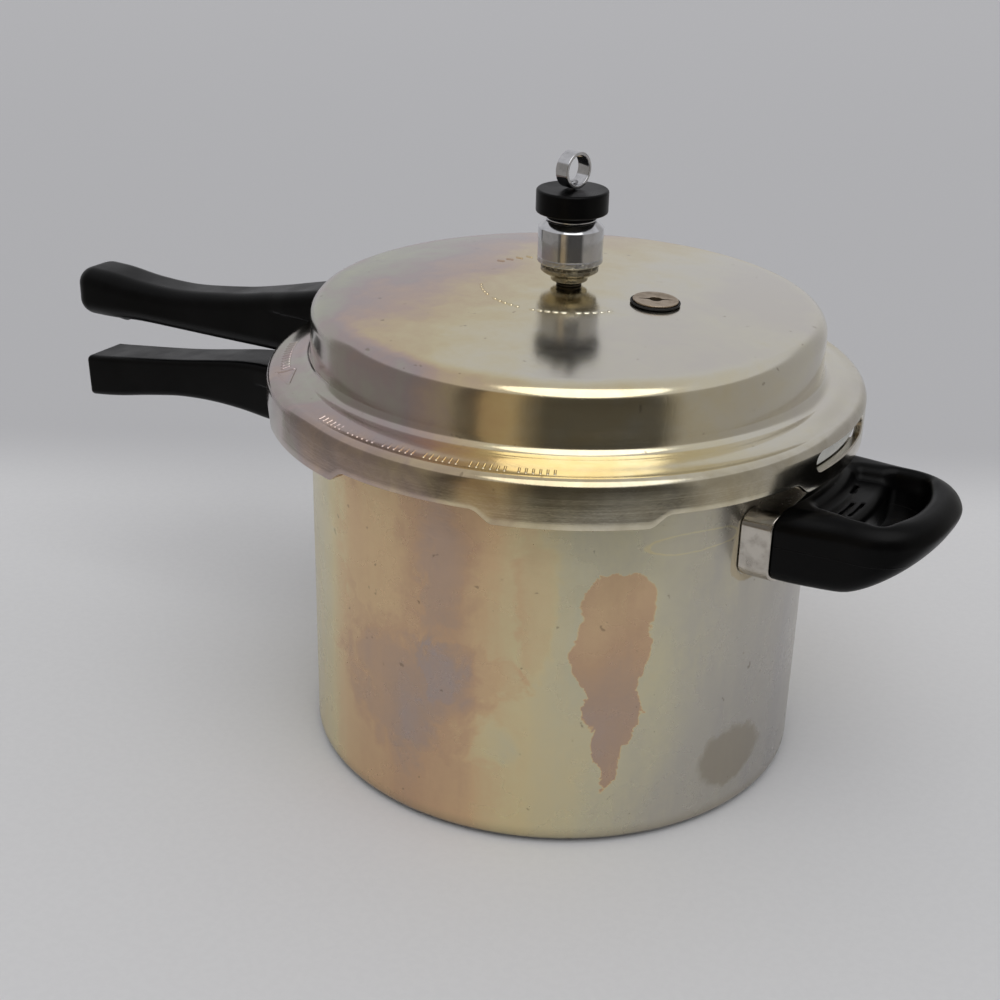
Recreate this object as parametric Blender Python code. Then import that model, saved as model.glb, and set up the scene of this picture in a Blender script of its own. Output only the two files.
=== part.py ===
"""Stovetop pressure cooker: a drawn aluminium pan, a bayonet lid with its gasket, handles and valves.

Units are metres and +Z is up. The origin is the centre of the pan's flat bottom. The helper handle
points to +X and the two long handles to -X. The lid is shut and locked.
"""

import math

import bmesh
import bpy
from mathutils import Vector

MM = 0.001
GAP = 0.3 * MM  # clearance between touching pieces
STEP_DEG = 7.5  # spacing of the points round every turned piece of the pan and the lid

# Pan
PAN_R = 106.2 * MM  # outside, at the rim
PAN_FOOT_R = 105.8 * MM  # outside, just above the bottom corner
PAN_FLAT_R = 101.3 * MM  # edge of the flat bottom
PAN_WALL = 3.2 * MM
PAN_FLOOR = 4.0 * MM
PAN_H = 154.8 * MM
FLANGE_T = 3.0 * MM
FLANGE_R = 113.0 * MM
PAN_LUG_R = 119.0 * MM
PAN_LUG_HALF_DEG = 12.0

# Lid
LID_WALL = 3.0 * MM
DOME_R = 105.7 * MM
CROWN_TOP = 201.0 * MM  # height of the lid's centre
CROWN_DROP = 5.7 * MM  # fall of the crown over CROWN_SPAN
CROWN_SPAN = 98.7 * MM
DOME_FILLET = 7.0 * MM
SHOULDER_FILLET = 4.5 * MM
SHOULDER_TOP = 169.6 * MM
SKIRT_R = 124.0 * MM
SKIRT_CORNER = 4.2 * MM
SKIRT_CORNER_Z = 167.25 * MM
SKIRT_BOTTOM = 153.0 * MM  # between the lugs
LID_LUG_BOTTOM = 148.0 * MM
LID_LUG_T = 3.0 * MM
LID_LUG_INNER_R = 114.5 * MM
LID_LUG_HALF_DEG = 13.0
LID_RAMP_END_DEG = 17.0  # where the skirt's edge, sloping up from a lug, reaches the gap's height
LUG_SIDE_DEG = 0.6  # angle over which a lug's side falls back to the plain wall
LUG_COUNT = 6
VENT_HOLE_R = 4.3 * MM

# Gasket
GASKET_IN_R = 108.0 * MM
GASKET_OUT_R = 120.7 * MM
GASKET_BOTTOM = 155.1 * MM
GASKET_TOP = 163.9 * MM
GASKET_GROOVE = 8.0 * MM
GASKET_SLOT_HALF_DEG = 11.5  # opening in the skirt that lets the gasket blow out
GASKET_SLOT_Z = 159.0 * MM
GASKET_SLOT_H = 8.0 * MM

# Handle collars on the pan
COLLAR_OUT_R = 118.0 * MM
COLLAR_Z = 125.1 * MM
COLLAR_HALF_H = 14.1 * MM
COLLAR_ROUND = 6.0 * MM
COLLAR_T = 1.5 * MM
PAN_COLLAR_HALF_W = 15.0 * MM
HELPER_COLLAR_HALF_W = 39.0 * MM
TONGUE_T = 2.0 * MM
TONGUE_HALF_W = 5.0 * MM
TONGUE_END = 150.0 * MM
HELPER_TONGUE_END = 133.0 * MM
HANDLE_SCREW_S = 140.0 * MM  # distance of a handle screw from the pan's axis
HELPER_SCREW_S = 126.5 * MM
SCREW_R = 2.0 * MM
SCREW_HEAD_R = 4.0 * MM
SCREW_HEAD_H = 2.6 * MM
NUT_FLATS = 7.0 * MM
NUT_H = 3.0 * MM
RIVET_R = 2.0 * MM
RIVET_HEAD_R = 3.6 * MM
RIVET_HEAD_H = 1.5 * MM
LID_RIVET_R = 1.2 * MM
LID_RIVET_HEAD_R = 2.1 * MM
LID_RIVET_HEAD_H = 1.1 * MM
LID_RIVET_Z = 176.3 * MM
LID_RIVET_Y = 6.5 * MM

# Helper handle, seen from above: straight sides, then half an ellipse
HELPER_ROOT_HALF_W = 38.4 * MM
HELPER_ELLIPSE_X = 140.0 * MM
HELPER_ELLIPSE_A = 30.0 * MM
HELPER_ELLIPSE_B = 36.0 * MM
HELPER_SQUARENESS = 2.3  # 2 would be a true ellipse
HELPER_BOTTOM = 111.7 * MM
HELPER_TOP = 142.2 * MM
HELPER_RISE_X = 138.0 * MM  # where the underside starts to sweep up to the tip
HELPER_BAR = 13.5 * MM  # thickness of the bar at the tip
HELPER_HOLE_HALF_W = 25.5 * MM
HELPER_WEB_R = 138.0 * MM  # the web's edge, about the pan's axis
HELPER_WEB_TOP = 134.0 * MM
HELPER_WEB_BOTTOM = 118.0 * MM

# Lid handle
LID_HANDLE_SCREW_S = 143.0 * MM
STRAP_HALF_W = 11.0 * MM
STRAP_TONGUE_Z = 157.1 * MM  # middle of the strap's end, which the handle's screw goes through

# Vent, weight valve and finger ring, all on the lid's axis
VENT_TOP = 219.0 * MM
VENT_R = 3.5 * MM
VENT_BORE_R = 1.5 * MM
WEIGHT_R = 13.35 * MM
WEIGHT_BOTTOM = 210.6 * MM
WEIGHT_TOP = 228.0 * MM
BASE_R = 11.8 * MM
BASE_BOTTOM = 203.2 * MM
BASE_FOOT_R = 7.6 * MM
BASE_BORE_R = 5.3 * MM
NECK_R = 10.0 * MM
KNOB_R = 14.65 * MM
KNOB_BOTTOM = 231.2 * MM
KNOB_TOP = 240.6 * MM
RING_R = 7.4 * MM
RING_INNER_R = 6.0 * MM
RING_HALF_W = 3.1 * MM
RING_TURN_DEG = -13.0

# Safety plug, square to the crown
PLUG_AT = (39.5 * MM, -0.5 * MM)
PLUG_R = 9.2 * MM
PLUG_STEM_R = 4.2 * MM
PLUG_CORE_R = 2.2 * MM
PLUG_SLOT_DEG = 30.0


# ---------------------------------------------------------------- scene and materials

def clear_scene():
    for obj in list(bpy.data.objects):
        bpy.data.objects.remove(obj, do_unlink=True)


def material(name, colour, roughness, metallic=0.0):
    made = bpy.data.materials.new(name)
    made.use_nodes = True
    shader = made.node_tree.nodes["Principled BSDF"]
    shader.inputs["Base Color"].default_value = (*colour, 1.0)
    shader.inputs["Roughness"].default_value = roughness
    shader.inputs["Metallic"].default_value = metallic
    return made


def add_object(name, bm, look):
    bmesh.ops.recalc_face_normals(bm, faces=bm.faces)
    mesh = bpy.data.meshes.new(name)
    bm.to_mesh(mesh)
    bm.free()
    mesh.shade_smooth()
    mesh.set_sharp_from_angle(angle=math.radians(30))
    if look:
        mesh.materials.append(look)
    obj = bpy.data.objects.new(name, mesh)
    bpy.context.scene.collection.objects.link(obj)
    return obj


def place(obj, location=(0.0, 0.0, 0.0), rotation=(0.0, 0.0, 0.0), parent=None):
    obj.location = location
    obj.rotation_euler = rotation
    obj.parent = parent
    return obj


def cut(target, *cutters):
    """Takes each cutter away from the target and hides it."""
    for cutter in cutters:
        change(target, cutter, "DIFFERENCE")


def join(target, *others):
    for other in others:
        change(target, other, "UNION")


def change(target, tool, operation):
    modifier = target.modifiers.new(f"{operation.lower()} {tool.name}", "BOOLEAN")
    modifier.operation = operation
    modifier.object = tool
    modifier.solver = "EXACT"
    tool.hide_render = True
    tool.display_type = "WIRE"


# ---------------------------------------------------------------- shapes

def arc(centre, radius, start_deg, end_deg, steps):
    """Points of an arc in a (radius, height) profile, ends included."""
    points = []
    for i in range(steps + 1):
        turn = math.radians(start_deg + (end_deg - start_deg) * i / steps)
        points.append((centre[0] + radius * math.cos(turn), centre[1] + radius * math.sin(turn)))
    return points


def even_angles(step_deg=STEP_DEG):
    return [i * step_deg for i in range(round(360 / step_deg))]


def turned(name, profile_at, look, angles=None):
    """A solid of revolution whose profile may change with the angle.

    profile_at(angle) gives the same number of (radius, height) points at each angle. The profile is
    a closed loop clear of the axis, or an open line whose two ends lie on the axis.
    """
    angles = angles or even_angles()
    bm = bmesh.new()
    first = profile_at(angles[0])
    on_axis = first[0][0] == 0.0
    poles = [bm.verts.new((0.0, 0.0, first[i][1])) for i in (0, -1)] if on_axis else []
    columns = []
    for angle in angles:
        turn = math.radians(angle)
        points = profile_at(angle)
        if on_axis:
            points = points[1:-1]
        columns.append([bm.verts.new((r * math.cos(turn), r * math.sin(turn), z)) for r, z in points])
    for here, there in zip(columns, columns[1:] + columns[:1]):
        for i in range(len(here) - 1):
            bm.faces.new((here[i], there[i], there[i + 1], here[i + 1]))
        if on_axis:
            bm.faces.new((poles[0], there[0], here[0]))
            bm.faces.new((poles[1], here[-1], there[-1]))
        else:
            bm.faces.new((here[-1], there[-1], there[0], here[0]))
    return add_object(name, bm, look)


def spun(name, profile, look, step_deg=18.0):
    """A plain solid of revolution for the small pieces."""
    return turned(name, lambda angle: profile, look, even_angles(step_deg))


def rod(name, radius, bottom, top, look=None, step_deg=18.0):
    return spun(name, [(0.0, bottom), (radius, bottom), (radius, top), (0.0, top)], look, step_deg)


def ring(name, inner, outer, bottom, top, look=None, step_deg=18.0):
    profile = [(inner, bottom), (outer, bottom), (outer, top), (inner, top)]
    return spun(name, profile, look, step_deg)


def layers(name, loops, look=None):
    """A closed solid through loops of points, capped at both ends."""
    bm = bmesh.new()
    rows = [[bm.verts.new(point) for point in loop] for loop in loops]
    for low, high in zip(rows, rows[1:]):
        for i in range(len(low)):
            j = (i + 1) % len(low)
            bm.faces.new((low[i], low[j], high[j], high[i]))
    bm.faces.new(reversed(rows[0]))
    bm.faces.new(rows[-1])
    return add_object(name, bm, look)


def prism(name, outline, bottom, top, look=None):
    """An upright prism on an (x, y) outline."""
    return layers(name, [[(x, y, z) for x, y in outline] for z in (bottom, top)], look)


def side_prism(name, outline, half_width, look=None):
    """A prism on an (x, z) outline, as wide as given along Y."""
    return layers(name, [[(x, y, z) for x, z in outline] for y in (-half_width, half_width)], look)


def box(name, low, high, look=None):
    outline = [(low[0], low[1]), (high[0], low[1]), (high[0], high[1]), (low[0], high[1])]
    return prism(name, outline, low[2], high[2], look)


def hexagon(flats):
    reach = flats / math.sqrt(3)
    corners = [math.radians(60 * i) for i in range(6)]
    return [(reach * math.cos(a), reach * math.sin(a)) for a in corners]


def nut(name, flats, hole_r, bottom, top, look):
    """A hexagon nut whose hole is left open for its screw."""
    made = prism(name, hexagon(flats), bottom, top, look)
    cut(made, rod(f"{name}_hole", hole_r, bottom - MM, top + MM))
    return made


def curved_block(name, inner, outer, half_w, half_h, corner, height, look=None):
    """A block between two cylinders about the Z axis, with rounded corners as seen along X."""
    flat = half_w - corner
    stations = [-flat * 0.5, 0.0, flat * 0.5]
    for x, _ in arc((flat, 0.0), corner, 0, 90, 4):
        stations += [x, -x]
    stations = sorted(stations)
    bm = bmesh.new()
    rows = []
    for y in stations:
        over = max(abs(y) - flat, 0.0)
        half = half_h - corner + math.sqrt(max(corner ** 2 - over ** 2, 0.0))
        near, far = (math.sqrt(r ** 2 - y ** 2) for r in (inner, outer))
        corners = ((near, height - half), (far, height - half), (far, height + half), (near, height + half))
        rows.append([bm.verts.new((x, y, z)) for x, z in corners])
    for a, b in zip(rows, rows[1:]):
        for i in range(4):
            bm.faces.new((a[i], a[(i + 1) % 4], b[(i + 1) % 4], b[i]))
    bm.faces.new(rows[0])
    bm.faces.new(reversed(rows[-1]))
    return add_object(name, bm, look)


def radial(angle_deg):
    """Rotation that lays a piece's Z axis along a radius."""
    return (0.0, math.pi / 2, math.radians(angle_deg))


# ---------------------------------------------------------------- fasteners

def rivet(name, hold, look, shank_r=RIVET_R, head_r=RIVET_HEAD_R, head_h=RIVET_HEAD_H):
    """Heads at both ends of a shank that grips `hold` of metal, its outer head at the top."""
    face = hold + 2 * GAP
    crown_r = 0.6 * head_r
    profile = [(0.0, -head_h), (crown_r, -head_h), (head_r, -GAP), (head_r, 0.0), (shank_r, 0.0)]
    profile += [(shank_r, face), (head_r, face), (head_r, face + GAP)]
    profile += [(crown_r, face + head_h), (0.0, face + head_h)]
    return spun(name, profile, look, 22.5)


def screw(name, head_bottom, tip, look):
    """A cheese-head screw whose head is at the bottom, with a slot."""
    head_top = head_bottom + SCREW_HEAD_H
    profile = [(0.0, head_bottom), (SCREW_HEAD_R, head_bottom), (SCREW_HEAD_R, head_top)]
    profile += [(SCREW_R, head_top), (SCREW_R, tip), (0.0, tip)]
    made = spun(name, profile, look)
    slot_half = 0.5 * MM
    reach = SCREW_HEAD_R + MM
    depth = 1.0 * MM
    low = (-reach, -slot_half, head_bottom - MM)
    cut(made, box(f"{name}_slot", low, (reach, slot_half, head_bottom + depth)))
    return made


# ---------------------------------------------------------------- pan

def lug_centres():
    return [360 / LUG_COUNT * i for i in range(LUG_COUNT)]


def off_lug_centre(angle):
    """Degrees from the nearest lug's centre."""
    pitch = 360 / LUG_COUNT
    return abs((angle + pitch / 2) % pitch - pitch / 2)


def lug_angles(edges):
    """The even angles, with those close to a lug's edges swapped for the edges themselves."""
    marks = [(centre + side * edge) % 360 for centre in lug_centres() for edge in edges for side in (-1, 1)]
    even = [a for a in even_angles() if all(abs((a - m + 180) % 360 - 180) > 2.6 for m in marks)]
    return sorted(even + marks)


def pan_profile(angle):
    edge = PAN_LUG_R if off_lug_centre(angle) <= PAN_LUG_HALF_DEG + 1e-6 else FLANGE_R
    under = PAN_H - FLANGE_T
    inner = PAN_R - PAN_WALL
    corner = 12.0 * MM
    foot = 4.6 * MM
    outside = [(0.0, 0.0), (PAN_FLAT_R, 0.0)]
    outside += arc((PAN_FOOT_R - foot, foot + 0.6 * MM), foot, -60, 0, 3)
    outside += [(PAN_R, under), (edge - 0.8 * MM, under), (edge, under + 0.8 * MM), (edge, PAN_H - 0.8 * MM)]
    outside += [(edge - 0.8 * MM, PAN_H), (inner + 1.2 * MM, PAN_H), (inner, PAN_H - 1.2 * MM)]
    inside = arc((inner - corner, PAN_FLOOR + corner), corner, 0, -90, 5)
    return outside + inside + [(0.0, PAN_FLOOR)]


def make_pan(look):
    angles = lug_angles((PAN_LUG_HALF_DEG, PAN_LUG_HALF_DEG + LUG_SIDE_DEG))
    return turned("pan_body", pan_profile, look, angles)


def fit_collar(pan, label, turn_deg, half_w, tongue_end, screw_s, rivet_y, metal):
    """A chromed collar that two rivets hold to the pan's wall, with a tongue for the handle's screw."""
    back = PAN_R + GAP
    name = f"{label}_bracket"
    collar = curved_block(name, back, COLLAR_OUT_R, half_w, COLLAR_HALF_H, COLLAR_ROUND, COLLAR_Z, metal)
    hollow = curved_block(
        f"{label}_bracket_hollow",
        back + COLLAR_T,
        COLLAR_OUT_R + 2 * MM,
        half_w - COLLAR_T,
        COLLAR_HALF_H - COLLAR_T,
        COLLAR_ROUND - COLLAR_T,
        COLLAR_Z,
    )
    low = (back + 0.7 * COLLAR_T, -TONGUE_HALF_W, COLLAR_Z - TONGUE_T / 2)
    high = (tongue_end, TONGUE_HALF_W, COLLAR_Z + TONGUE_T / 2)
    tongue = box(f"{label}_bracket_tongue", low, high)
    hole = rod(f"{label}_bracket_screw_hole", SCREW_R + GAP, COLLAR_Z - 5 * MM, COLLAR_Z + 5 * MM)
    swing = math.radians(turn_deg)
    place(hole, (screw_s * math.cos(swing), screw_s * math.sin(swing), 0.0), (0.0, 0.0, swing))
    cut(collar, hollow)
    join(collar, tongue)
    cut(collar, hole)
    for piece in (collar, hollow, tongue):
        place(piece, rotation=(0.0, 0.0, swing))
    hold = PAN_WALL + COLLAR_T + 1.5 * GAP
    inner = PAN_R - PAN_WALL
    for side, sign in (("left", 1), ("right", -1)):
        angle = turn_deg + sign * math.degrees(math.asin(rivet_y / PAN_R))
        out = Vector((math.cos(math.radians(angle)), math.sin(math.radians(angle)), 0.0))
        pin = rivet(f"{label}_bracket_rivet_{side}", hold, metal)
        place(pin, out * (inner - 1.2 * GAP) + Vector((0.0, 0.0, COLLAR_Z)), radial(angle))
        bore = rod(f"{label}_rivet_hole_{side}", RIVET_R + GAP, -4 * MM, 8 * MM)
        place(bore, out * inner + Vector((0.0, 0.0, COLLAR_Z)), radial(angle))
        cut(pan, bore)
        cut(collar, bore)
    return collar


def spigot(label, half_w):
    """The part of a handle that plugs into its collar, behind the rivet heads."""
    shrink = COLLAR_T + GAP
    return curved_block(
        f"{label}_spigot",
        PAN_R + 4.4 * MM,
        COLLAR_OUT_R + 2 * MM,
        half_w - shrink,
        COLLAR_HALF_H - shrink,
        COLLAR_ROUND - shrink,
        COLLAR_Z,
    )


def fit_screw(handle, label, reach, turn_deg, head_bottom, tongue_z, metal):
    """Bores a handle for its screw, nut and the tongue's thickness, and adds the screw and the nut."""
    swing = math.radians(turn_deg)
    spot = (reach * math.cos(swing), reach * math.sin(swing), 0.0)
    nut_bottom = tongue_z + TONGUE_T / 2 + GAP
    nut_top = nut_bottom + NUT_H
    well_r, shaft_r = SCREW_HEAD_R + GAP, SCREW_R + GAP
    well_bottom, well_top = head_bottom - 30 * MM, head_bottom + SCREW_HEAD_H + GAP
    shaft_top = tongue_z + 0.4 * MM
    profile = [(0.0, well_bottom), (well_r, well_bottom), (well_r, well_top), (shaft_r, well_top)]
    well = spun(f"{label}_screw_well", profile + [(shaft_r, shaft_top), (0.0, shaft_top)], None)
    pocket = prism(f"{label}_nut_pocket", hexagon(NUT_FLATS + 2 * GAP), tongue_z - 0.4 * MM, nut_top + GAP)
    bolt = screw(f"{label}_screw", head_bottom, nut_top - 0.4 * MM, metal)
    lock = nut(f"{label}_nut", NUT_FLATS, SCREW_R + GAP, nut_bottom, nut_top, metal)
    for piece in (well, pocket, bolt, lock):
        place(piece, spot, (0.0, 0.0, swing))
    place(bpy.data.objects[f"{label}_screw_slot"], spot, (0.0, 0.0, swing))
    place(bpy.data.objects[f"{label}_nut_hole"], spot, (0.0, 0.0, swing))
    cut(handle, well, pocket)


def root_clearance(label):
    """Cuts a handle's root off just outside its collar's front edge."""
    low, high = COLLAR_Z - 2 * COLLAR_HALF_H, COLLAR_Z + 2 * COLLAR_HALF_H
    return ring(f"{label}_root_clear", PAN_R - 8 * MM, COLLAR_OUT_R + GAP, low, high, None, STEP_DEG)


def tongue_slot(label, reach):
    half = TONGUE_HALF_W + GAP
    low = (PAN_R, -half, COLLAR_Z - TONGUE_T / 2 - GAP)
    return box(f"{label}_tongue_slot", low, (reach + GAP, half, COLLAR_Z + TONGUE_T / 2 + GAP))


# ---------------------------------------------------------------- handles

def bar_section(x, low, high, half_w, corner, points=5):
    """A rounded rectangle across a handle, at one distance from the pan's axis."""
    middle = (low + high) / 2
    flat_y = half_w - corner
    flat_z = (high - low) / 2 - corner
    loop = []
    for start, sy, sz in ((0, 1, 1), (90, -1, 1), (180, -1, -1), (270, 1, -1)):
        for y, z in arc((sy * flat_y, sz * flat_z), corner, start, start + 90, points - 1):
            loop.append((x, y, middle + z))
    return loop


def make_bar(name, stations, look):
    """A long handle lofted through (distance, underside, top, half width, corner) stations in mm."""
    return layers(name, [bar_section(*(value * MM for value in station)) for station in stations], look)


def make_pan_handle(pan, black, metal):
    stations = [
        (COLLAR_OUT_R / MM + 0.3, 111.2, 140.0, 15.4, 5.0),
        (135, 111.4, 139.3, 14.6, 4.0),
        (150, 111.8, 138.4, 13.4, 3.2),
        (167, 112.7, 136.6, 12.3, 2.8),
        (186, 112.5, 133.1, 11.6, 2.6),
        (204, 110.9, 129.6, 11.4, 2.5),
        (224, 107.2, 126.3, 11.6, 2.5),
        (244, 102.9, 123.3, 12.0, 2.5),
        (256, 100.9, 121.5, 12.2, 2.5),
        (261.6, 100.1, 120.7, 12.2, 2.5),
        (263, 101.2, 120.1, 11.4, 2.2),
    ]
    handle = make_bar("pan_handle", stations, black)
    root_clear = root_clearance("pan_handle")
    plug = spigot("pan_handle", PAN_COLLAR_HALF_W)
    slot = tongue_slot("pan_handle", TONGUE_END)
    for piece in (handle, plug, slot):
        place(piece, rotation=(0.0, 0.0, math.pi))
    cut(handle, root_clear)
    join(handle, plug)
    cut(handle, slot)
    half_w, rivet_y = PAN_COLLAR_HALF_W, 9.2 * MM
    fit_collar(pan, "pan_handle", 180.0, half_w, TONGUE_END, HANDLE_SCREW_S, rivet_y, metal)
    fit_screw(handle, "pan_handle", HANDLE_SCREW_S, 180.0, 115.0 * MM, COLLAR_Z, metal)


def helper_outline(inset):
    """The helper handle from above, drawn in by an inset."""
    root_x = COLLAR_OUT_R - 4 * MM
    half = HELPER_ROOT_HALF_W - inset
    a = HELPER_ELLIPSE_A - inset
    b = HELPER_ELLIPSE_B - inset
    power = 2 / HELPER_SQUARENESS
    curve = []
    for t in half_turn(16):
        reach, side = math.cos(t) ** power, math.copysign(abs(math.sin(t)) ** power, t)
        curve.append((HELPER_ELLIPSE_X + a * reach, b * side))
    return [(root_x, -half), *curve, (root_x, half)]


def helper_underside(label):
    """What is cut away under the helper handle, so that it thins towards its tip."""
    low = HELPER_BOTTOM - 10 * MM
    rise = [(t * MM, (0.5 * t + 0.006 * t ** 2) * MM) for t in (0, 4, 8, 12, 16, 20, 24, 28, 32, 36)]
    edge = [(HELPER_RISE_X + t, HELPER_BOTTOM + up) for t, up in rise]
    return side_prism(label, [(edge[0][0] - 6 * MM, low), (edge[-1][0], low), *reversed(edge)], 50 * MM)


def half_turn(steps):
    return [math.radians(-90 + 180 * i / steps) for i in range(steps + 1)]


def make_helper_handle(pan, black, metal):
    top_round, foot_round = 8.0 * MM, 6.0 * MM
    levels = [(z, foot_round - r) for r, z in arc((0.0, HELPER_BOTTOM + foot_round), foot_round, -75, 0, 4)]
    levels += [(z, top_round - r) for r, z in arc((0.0, HELPER_TOP - top_round), top_round, 0, 80, 4)]
    loops = [[(x, y, z) for x, y in helper_outline(inset)] for z, inset in levels]
    handle = layers("helper_handle", loops, black)
    hole_a = HELPER_ELLIPSE_A - HELPER_BAR
    web_end = math.degrees(math.asin(HELPER_HOLE_HALF_W / HELPER_WEB_R))
    web_edge = arc((0.0, 0.0), HELPER_WEB_R, web_end, -web_end, 6)
    hole_b = HELPER_HOLE_HALF_W
    bar_edge = [(HELPER_ELLIPSE_X + hole_a * math.cos(t), hole_b * math.sin(t)) for t in half_turn(10)]
    below, above = HELPER_BOTTOM - 5 * MM, HELPER_TOP + 5 * MM
    hole = prism("helper_handle_finger_hole", web_edge + bar_edge, below, above)
    recess_end = 10.0
    root_edge = arc((0.0, 0.0), 123.0 * MM, recess_end, -recess_end, 4)
    tip_edge = arc((0.0, 0.0), HELPER_WEB_R + 1.5 * MM, -web_end + 0.4, web_end - 0.4, 6)
    recess = prism("helper_handle_recess", root_edge + tip_edge, HELPER_WEB_TOP, above)
    under = prism("helper_handle_under_recess", root_edge + tip_edge, below, HELPER_WEB_BOTTOM)
    underside = helper_underside("helper_handle_underside")
    cut(handle, underside, hole, recess, under, root_clearance("helper_handle"))
    join(handle, spigot("helper_handle", HELPER_COLLAR_HALF_W))
    cut(handle, tongue_slot("helper_handle", HELPER_TONGUE_END))
    half_w, reach, rivet_y = HELPER_COLLAR_HALF_W, HELPER_TONGUE_END, 25.0 * MM
    fit_collar(pan, "helper", 0.0, half_w, reach, HELPER_SCREW_S, rivet_y, metal)
    head_bottom = HELPER_WEB_BOTTOM + 0.4 * MM
    fit_screw(handle, "helper_handle", HELPER_SCREW_S, 0.0, head_bottom, COLLAR_Z, metal)


# ---------------------------------------------------------------- lid

def crown_z(radius):
    return CROWN_TOP - CROWN_DROP * (radius / CROWN_SPAN) ** 2


def dome_fillet():
    """Centre and start angle of the arc that joins the crown to the dome's wall."""
    tilt = math.degrees(math.atan(2 * CROWN_DROP / CROWN_SPAN))
    centre_r = DOME_R - DOME_FILLET
    touch_r = centre_r + DOME_FILLET * math.sin(math.radians(tilt))
    centre_z = crown_z(touch_r) - DOME_FILLET * math.cos(math.radians(tilt))
    return (centre_r, centre_z), 90 - tilt


def lid_skin(depth, steps):
    """The lid's surface from near its axis to the skirt, `depth` below the outside (above it if negative)."""
    centre, start = dome_fillet()
    first = VENT_HOLE_R if depth >= 0 else 0.0
    last = centre[0] + DOME_FILLET * math.cos(math.radians(start))
    rings = 4
    points = [(r, crown_z(r) - depth) for r in (first + (last - first) * i / rings for i in range(rings))]
    points += arc(centre, DOME_FILLET - depth, start, 0, steps)
    inner_corner = (DOME_R + SHOULDER_FILLET, SHOULDER_TOP + SHOULDER_FILLET)
    points += arc(inner_corner, SHOULDER_FILLET + depth, 180, 270, steps)
    outer_corner = (SKIRT_R - SKIRT_CORNER, SKIRT_CORNER_Z - SKIRT_CORNER)
    points += arc(outer_corner, SKIRT_CORNER - depth, 90, 0, steps)
    return points


def lid_profile(angle):
    off = off_lug_centre(angle)
    rise = (off - LID_LUG_HALF_DEG) / (LID_RAMP_END_DEG - LID_LUG_HALF_DEG)
    inner = SKIRT_R - LID_WALL
    edge = 0.6 * MM
    bottom = LID_LUG_BOTTOM + (SKIRT_BOTTOM - LID_LUG_BOTTOM) * min(max(rise, 0.0), 1.0)
    outer = [(SKIRT_R, bottom + edge), (SKIRT_R - edge, bottom)]
    if off > LID_LUG_HALF_DEG + LUG_SIDE_DEG / 2:
        lug = [(inner + 0.5 * MM, bottom), (inner + 0.2 * MM, bottom + 0.2 * MM), (inner, bottom + edge)]
    else:
        top = bottom + LID_LUG_T
        lug = [(LID_LUG_INNER_R, bottom), (LID_LUG_INNER_R, top), (inner, top)]
    return lid_skin(0.0, 3) + outer + lug + list(reversed(lid_skin(LID_WALL, 2)))


def lid_cover(name, clearance):
    """The lid as one filled shape with a clearance, to shape what sits on it."""
    skin = lid_skin(-clearance, 3)
    profile = skin + [(SKIRT_R + clearance, 130 * MM), (0.0, 130 * MM)]
    return turned(name, lambda angle: profile, None)


def make_lid(look):
    angles = lug_angles((LID_LUG_HALF_DEG, LID_LUG_HALF_DEG + LUG_SIDE_DEG, LID_RAMP_END_DEG))
    lid = turned("lid_shell", lid_profile, look, angles)
    half_w = SKIRT_R * math.sin(math.radians(GASKET_SLOT_HALF_DEG))
    end = GASKET_SLOT_H / 2
    outline = arc((half_w - end, 0.0), end, -90, 90, 6) + arc((end - half_w, 0.0), end, 90, 270, 6)
    window = prism("lid_gasket_window", outline, GASKET_IN_R + 8 * MM, SKIRT_R + 8 * MM)
    place(window, (0.0, 0.0, GASKET_SLOT_Z), (math.pi / 2, 0.0, math.pi / 2))
    cut(lid, window)
    return lid


def make_gasket(look):
    groove = 1.3 * MM
    middle = (GASKET_BOTTOM + GASKET_TOP) / 2
    bevel = 1.3 * MM
    outer = [(GASKET_IN_R, GASKET_BOTTOM), (GASKET_OUT_R, GASKET_BOTTOM)]
    outer += [(GASKET_OUT_R, GASKET_TOP - bevel), (GASKET_OUT_R - bevel, GASKET_TOP)]
    inner = [(GASKET_IN_R, GASKET_TOP), (GASKET_IN_R, middle + 2 * groove)]
    inner += [(GASKET_IN_R + GASKET_GROOVE, middle + groove), (GASKET_IN_R + GASKET_GROOVE, middle - groove)]
    inner += [(GASKET_IN_R, middle - 2 * groove)]
    return turned("sealing_gasket", lambda angle: outer + inner, look)


def make_lid_handle(lid, black, metal):
    stations = [
        (103, 147.0, 180.4, 14.6, 5.0),
        (118, 146.6, 179.6, 14.6, 6.0),
        (133, 146.0, 176.3, 14.2, 6.5),
        (150, 145.4, 172.4, 13.2, 7.0),
        (168, 144.8, 168.4, 12.6, 7.0),
        (186, 144.3, 165.6, 12.2, 7.0),
        (205, 144.0, 163.4, 12.2, 7.0),
        (230, 143.5, 163.5, 12.8, 7.5),
        (248, 142.3, 165.0, 13.6, 8.0),
        (258, 141.9, 165.0, 13.6, 8.0),
        (263, 142.6, 164.4, 12.4, 7.5),
        (266, 144.6, 162.6, 9.8, 6.5),
        (267, 147.4, 159.8, 6.5, 4.5),
    ]
    handle = make_bar("lid_handle", stations, black)
    cover = lid_cover("lid_handle_cover", 0.4 * MM)
    width = STRAP_HALF_W + GAP
    room_under = [(98, 140), (126.3, 140), (126.3, 155.8), (151.4, 155.8), (151.4, 158.4), (128.8, 158.4)]
    room_over = [(128.8, 172.3), (116, 172.3), (110.2, 179.0), (98, 179.0)]
    room = side_prism("lid_handle_strap_room", [(x * MM, z * MM) for x, z in room_under + room_over], width)
    for piece in (handle, room):
        place(piece, rotation=(0.0, 0.0, math.pi))
    cut(handle, cover, room)
    fit_strap(lid, metal)
    fit_screw(handle, "lid_handle", LID_HANDLE_SCREW_S, 180.0, 148.0 * MM, STRAP_TONGUE_Z, metal)


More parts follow.
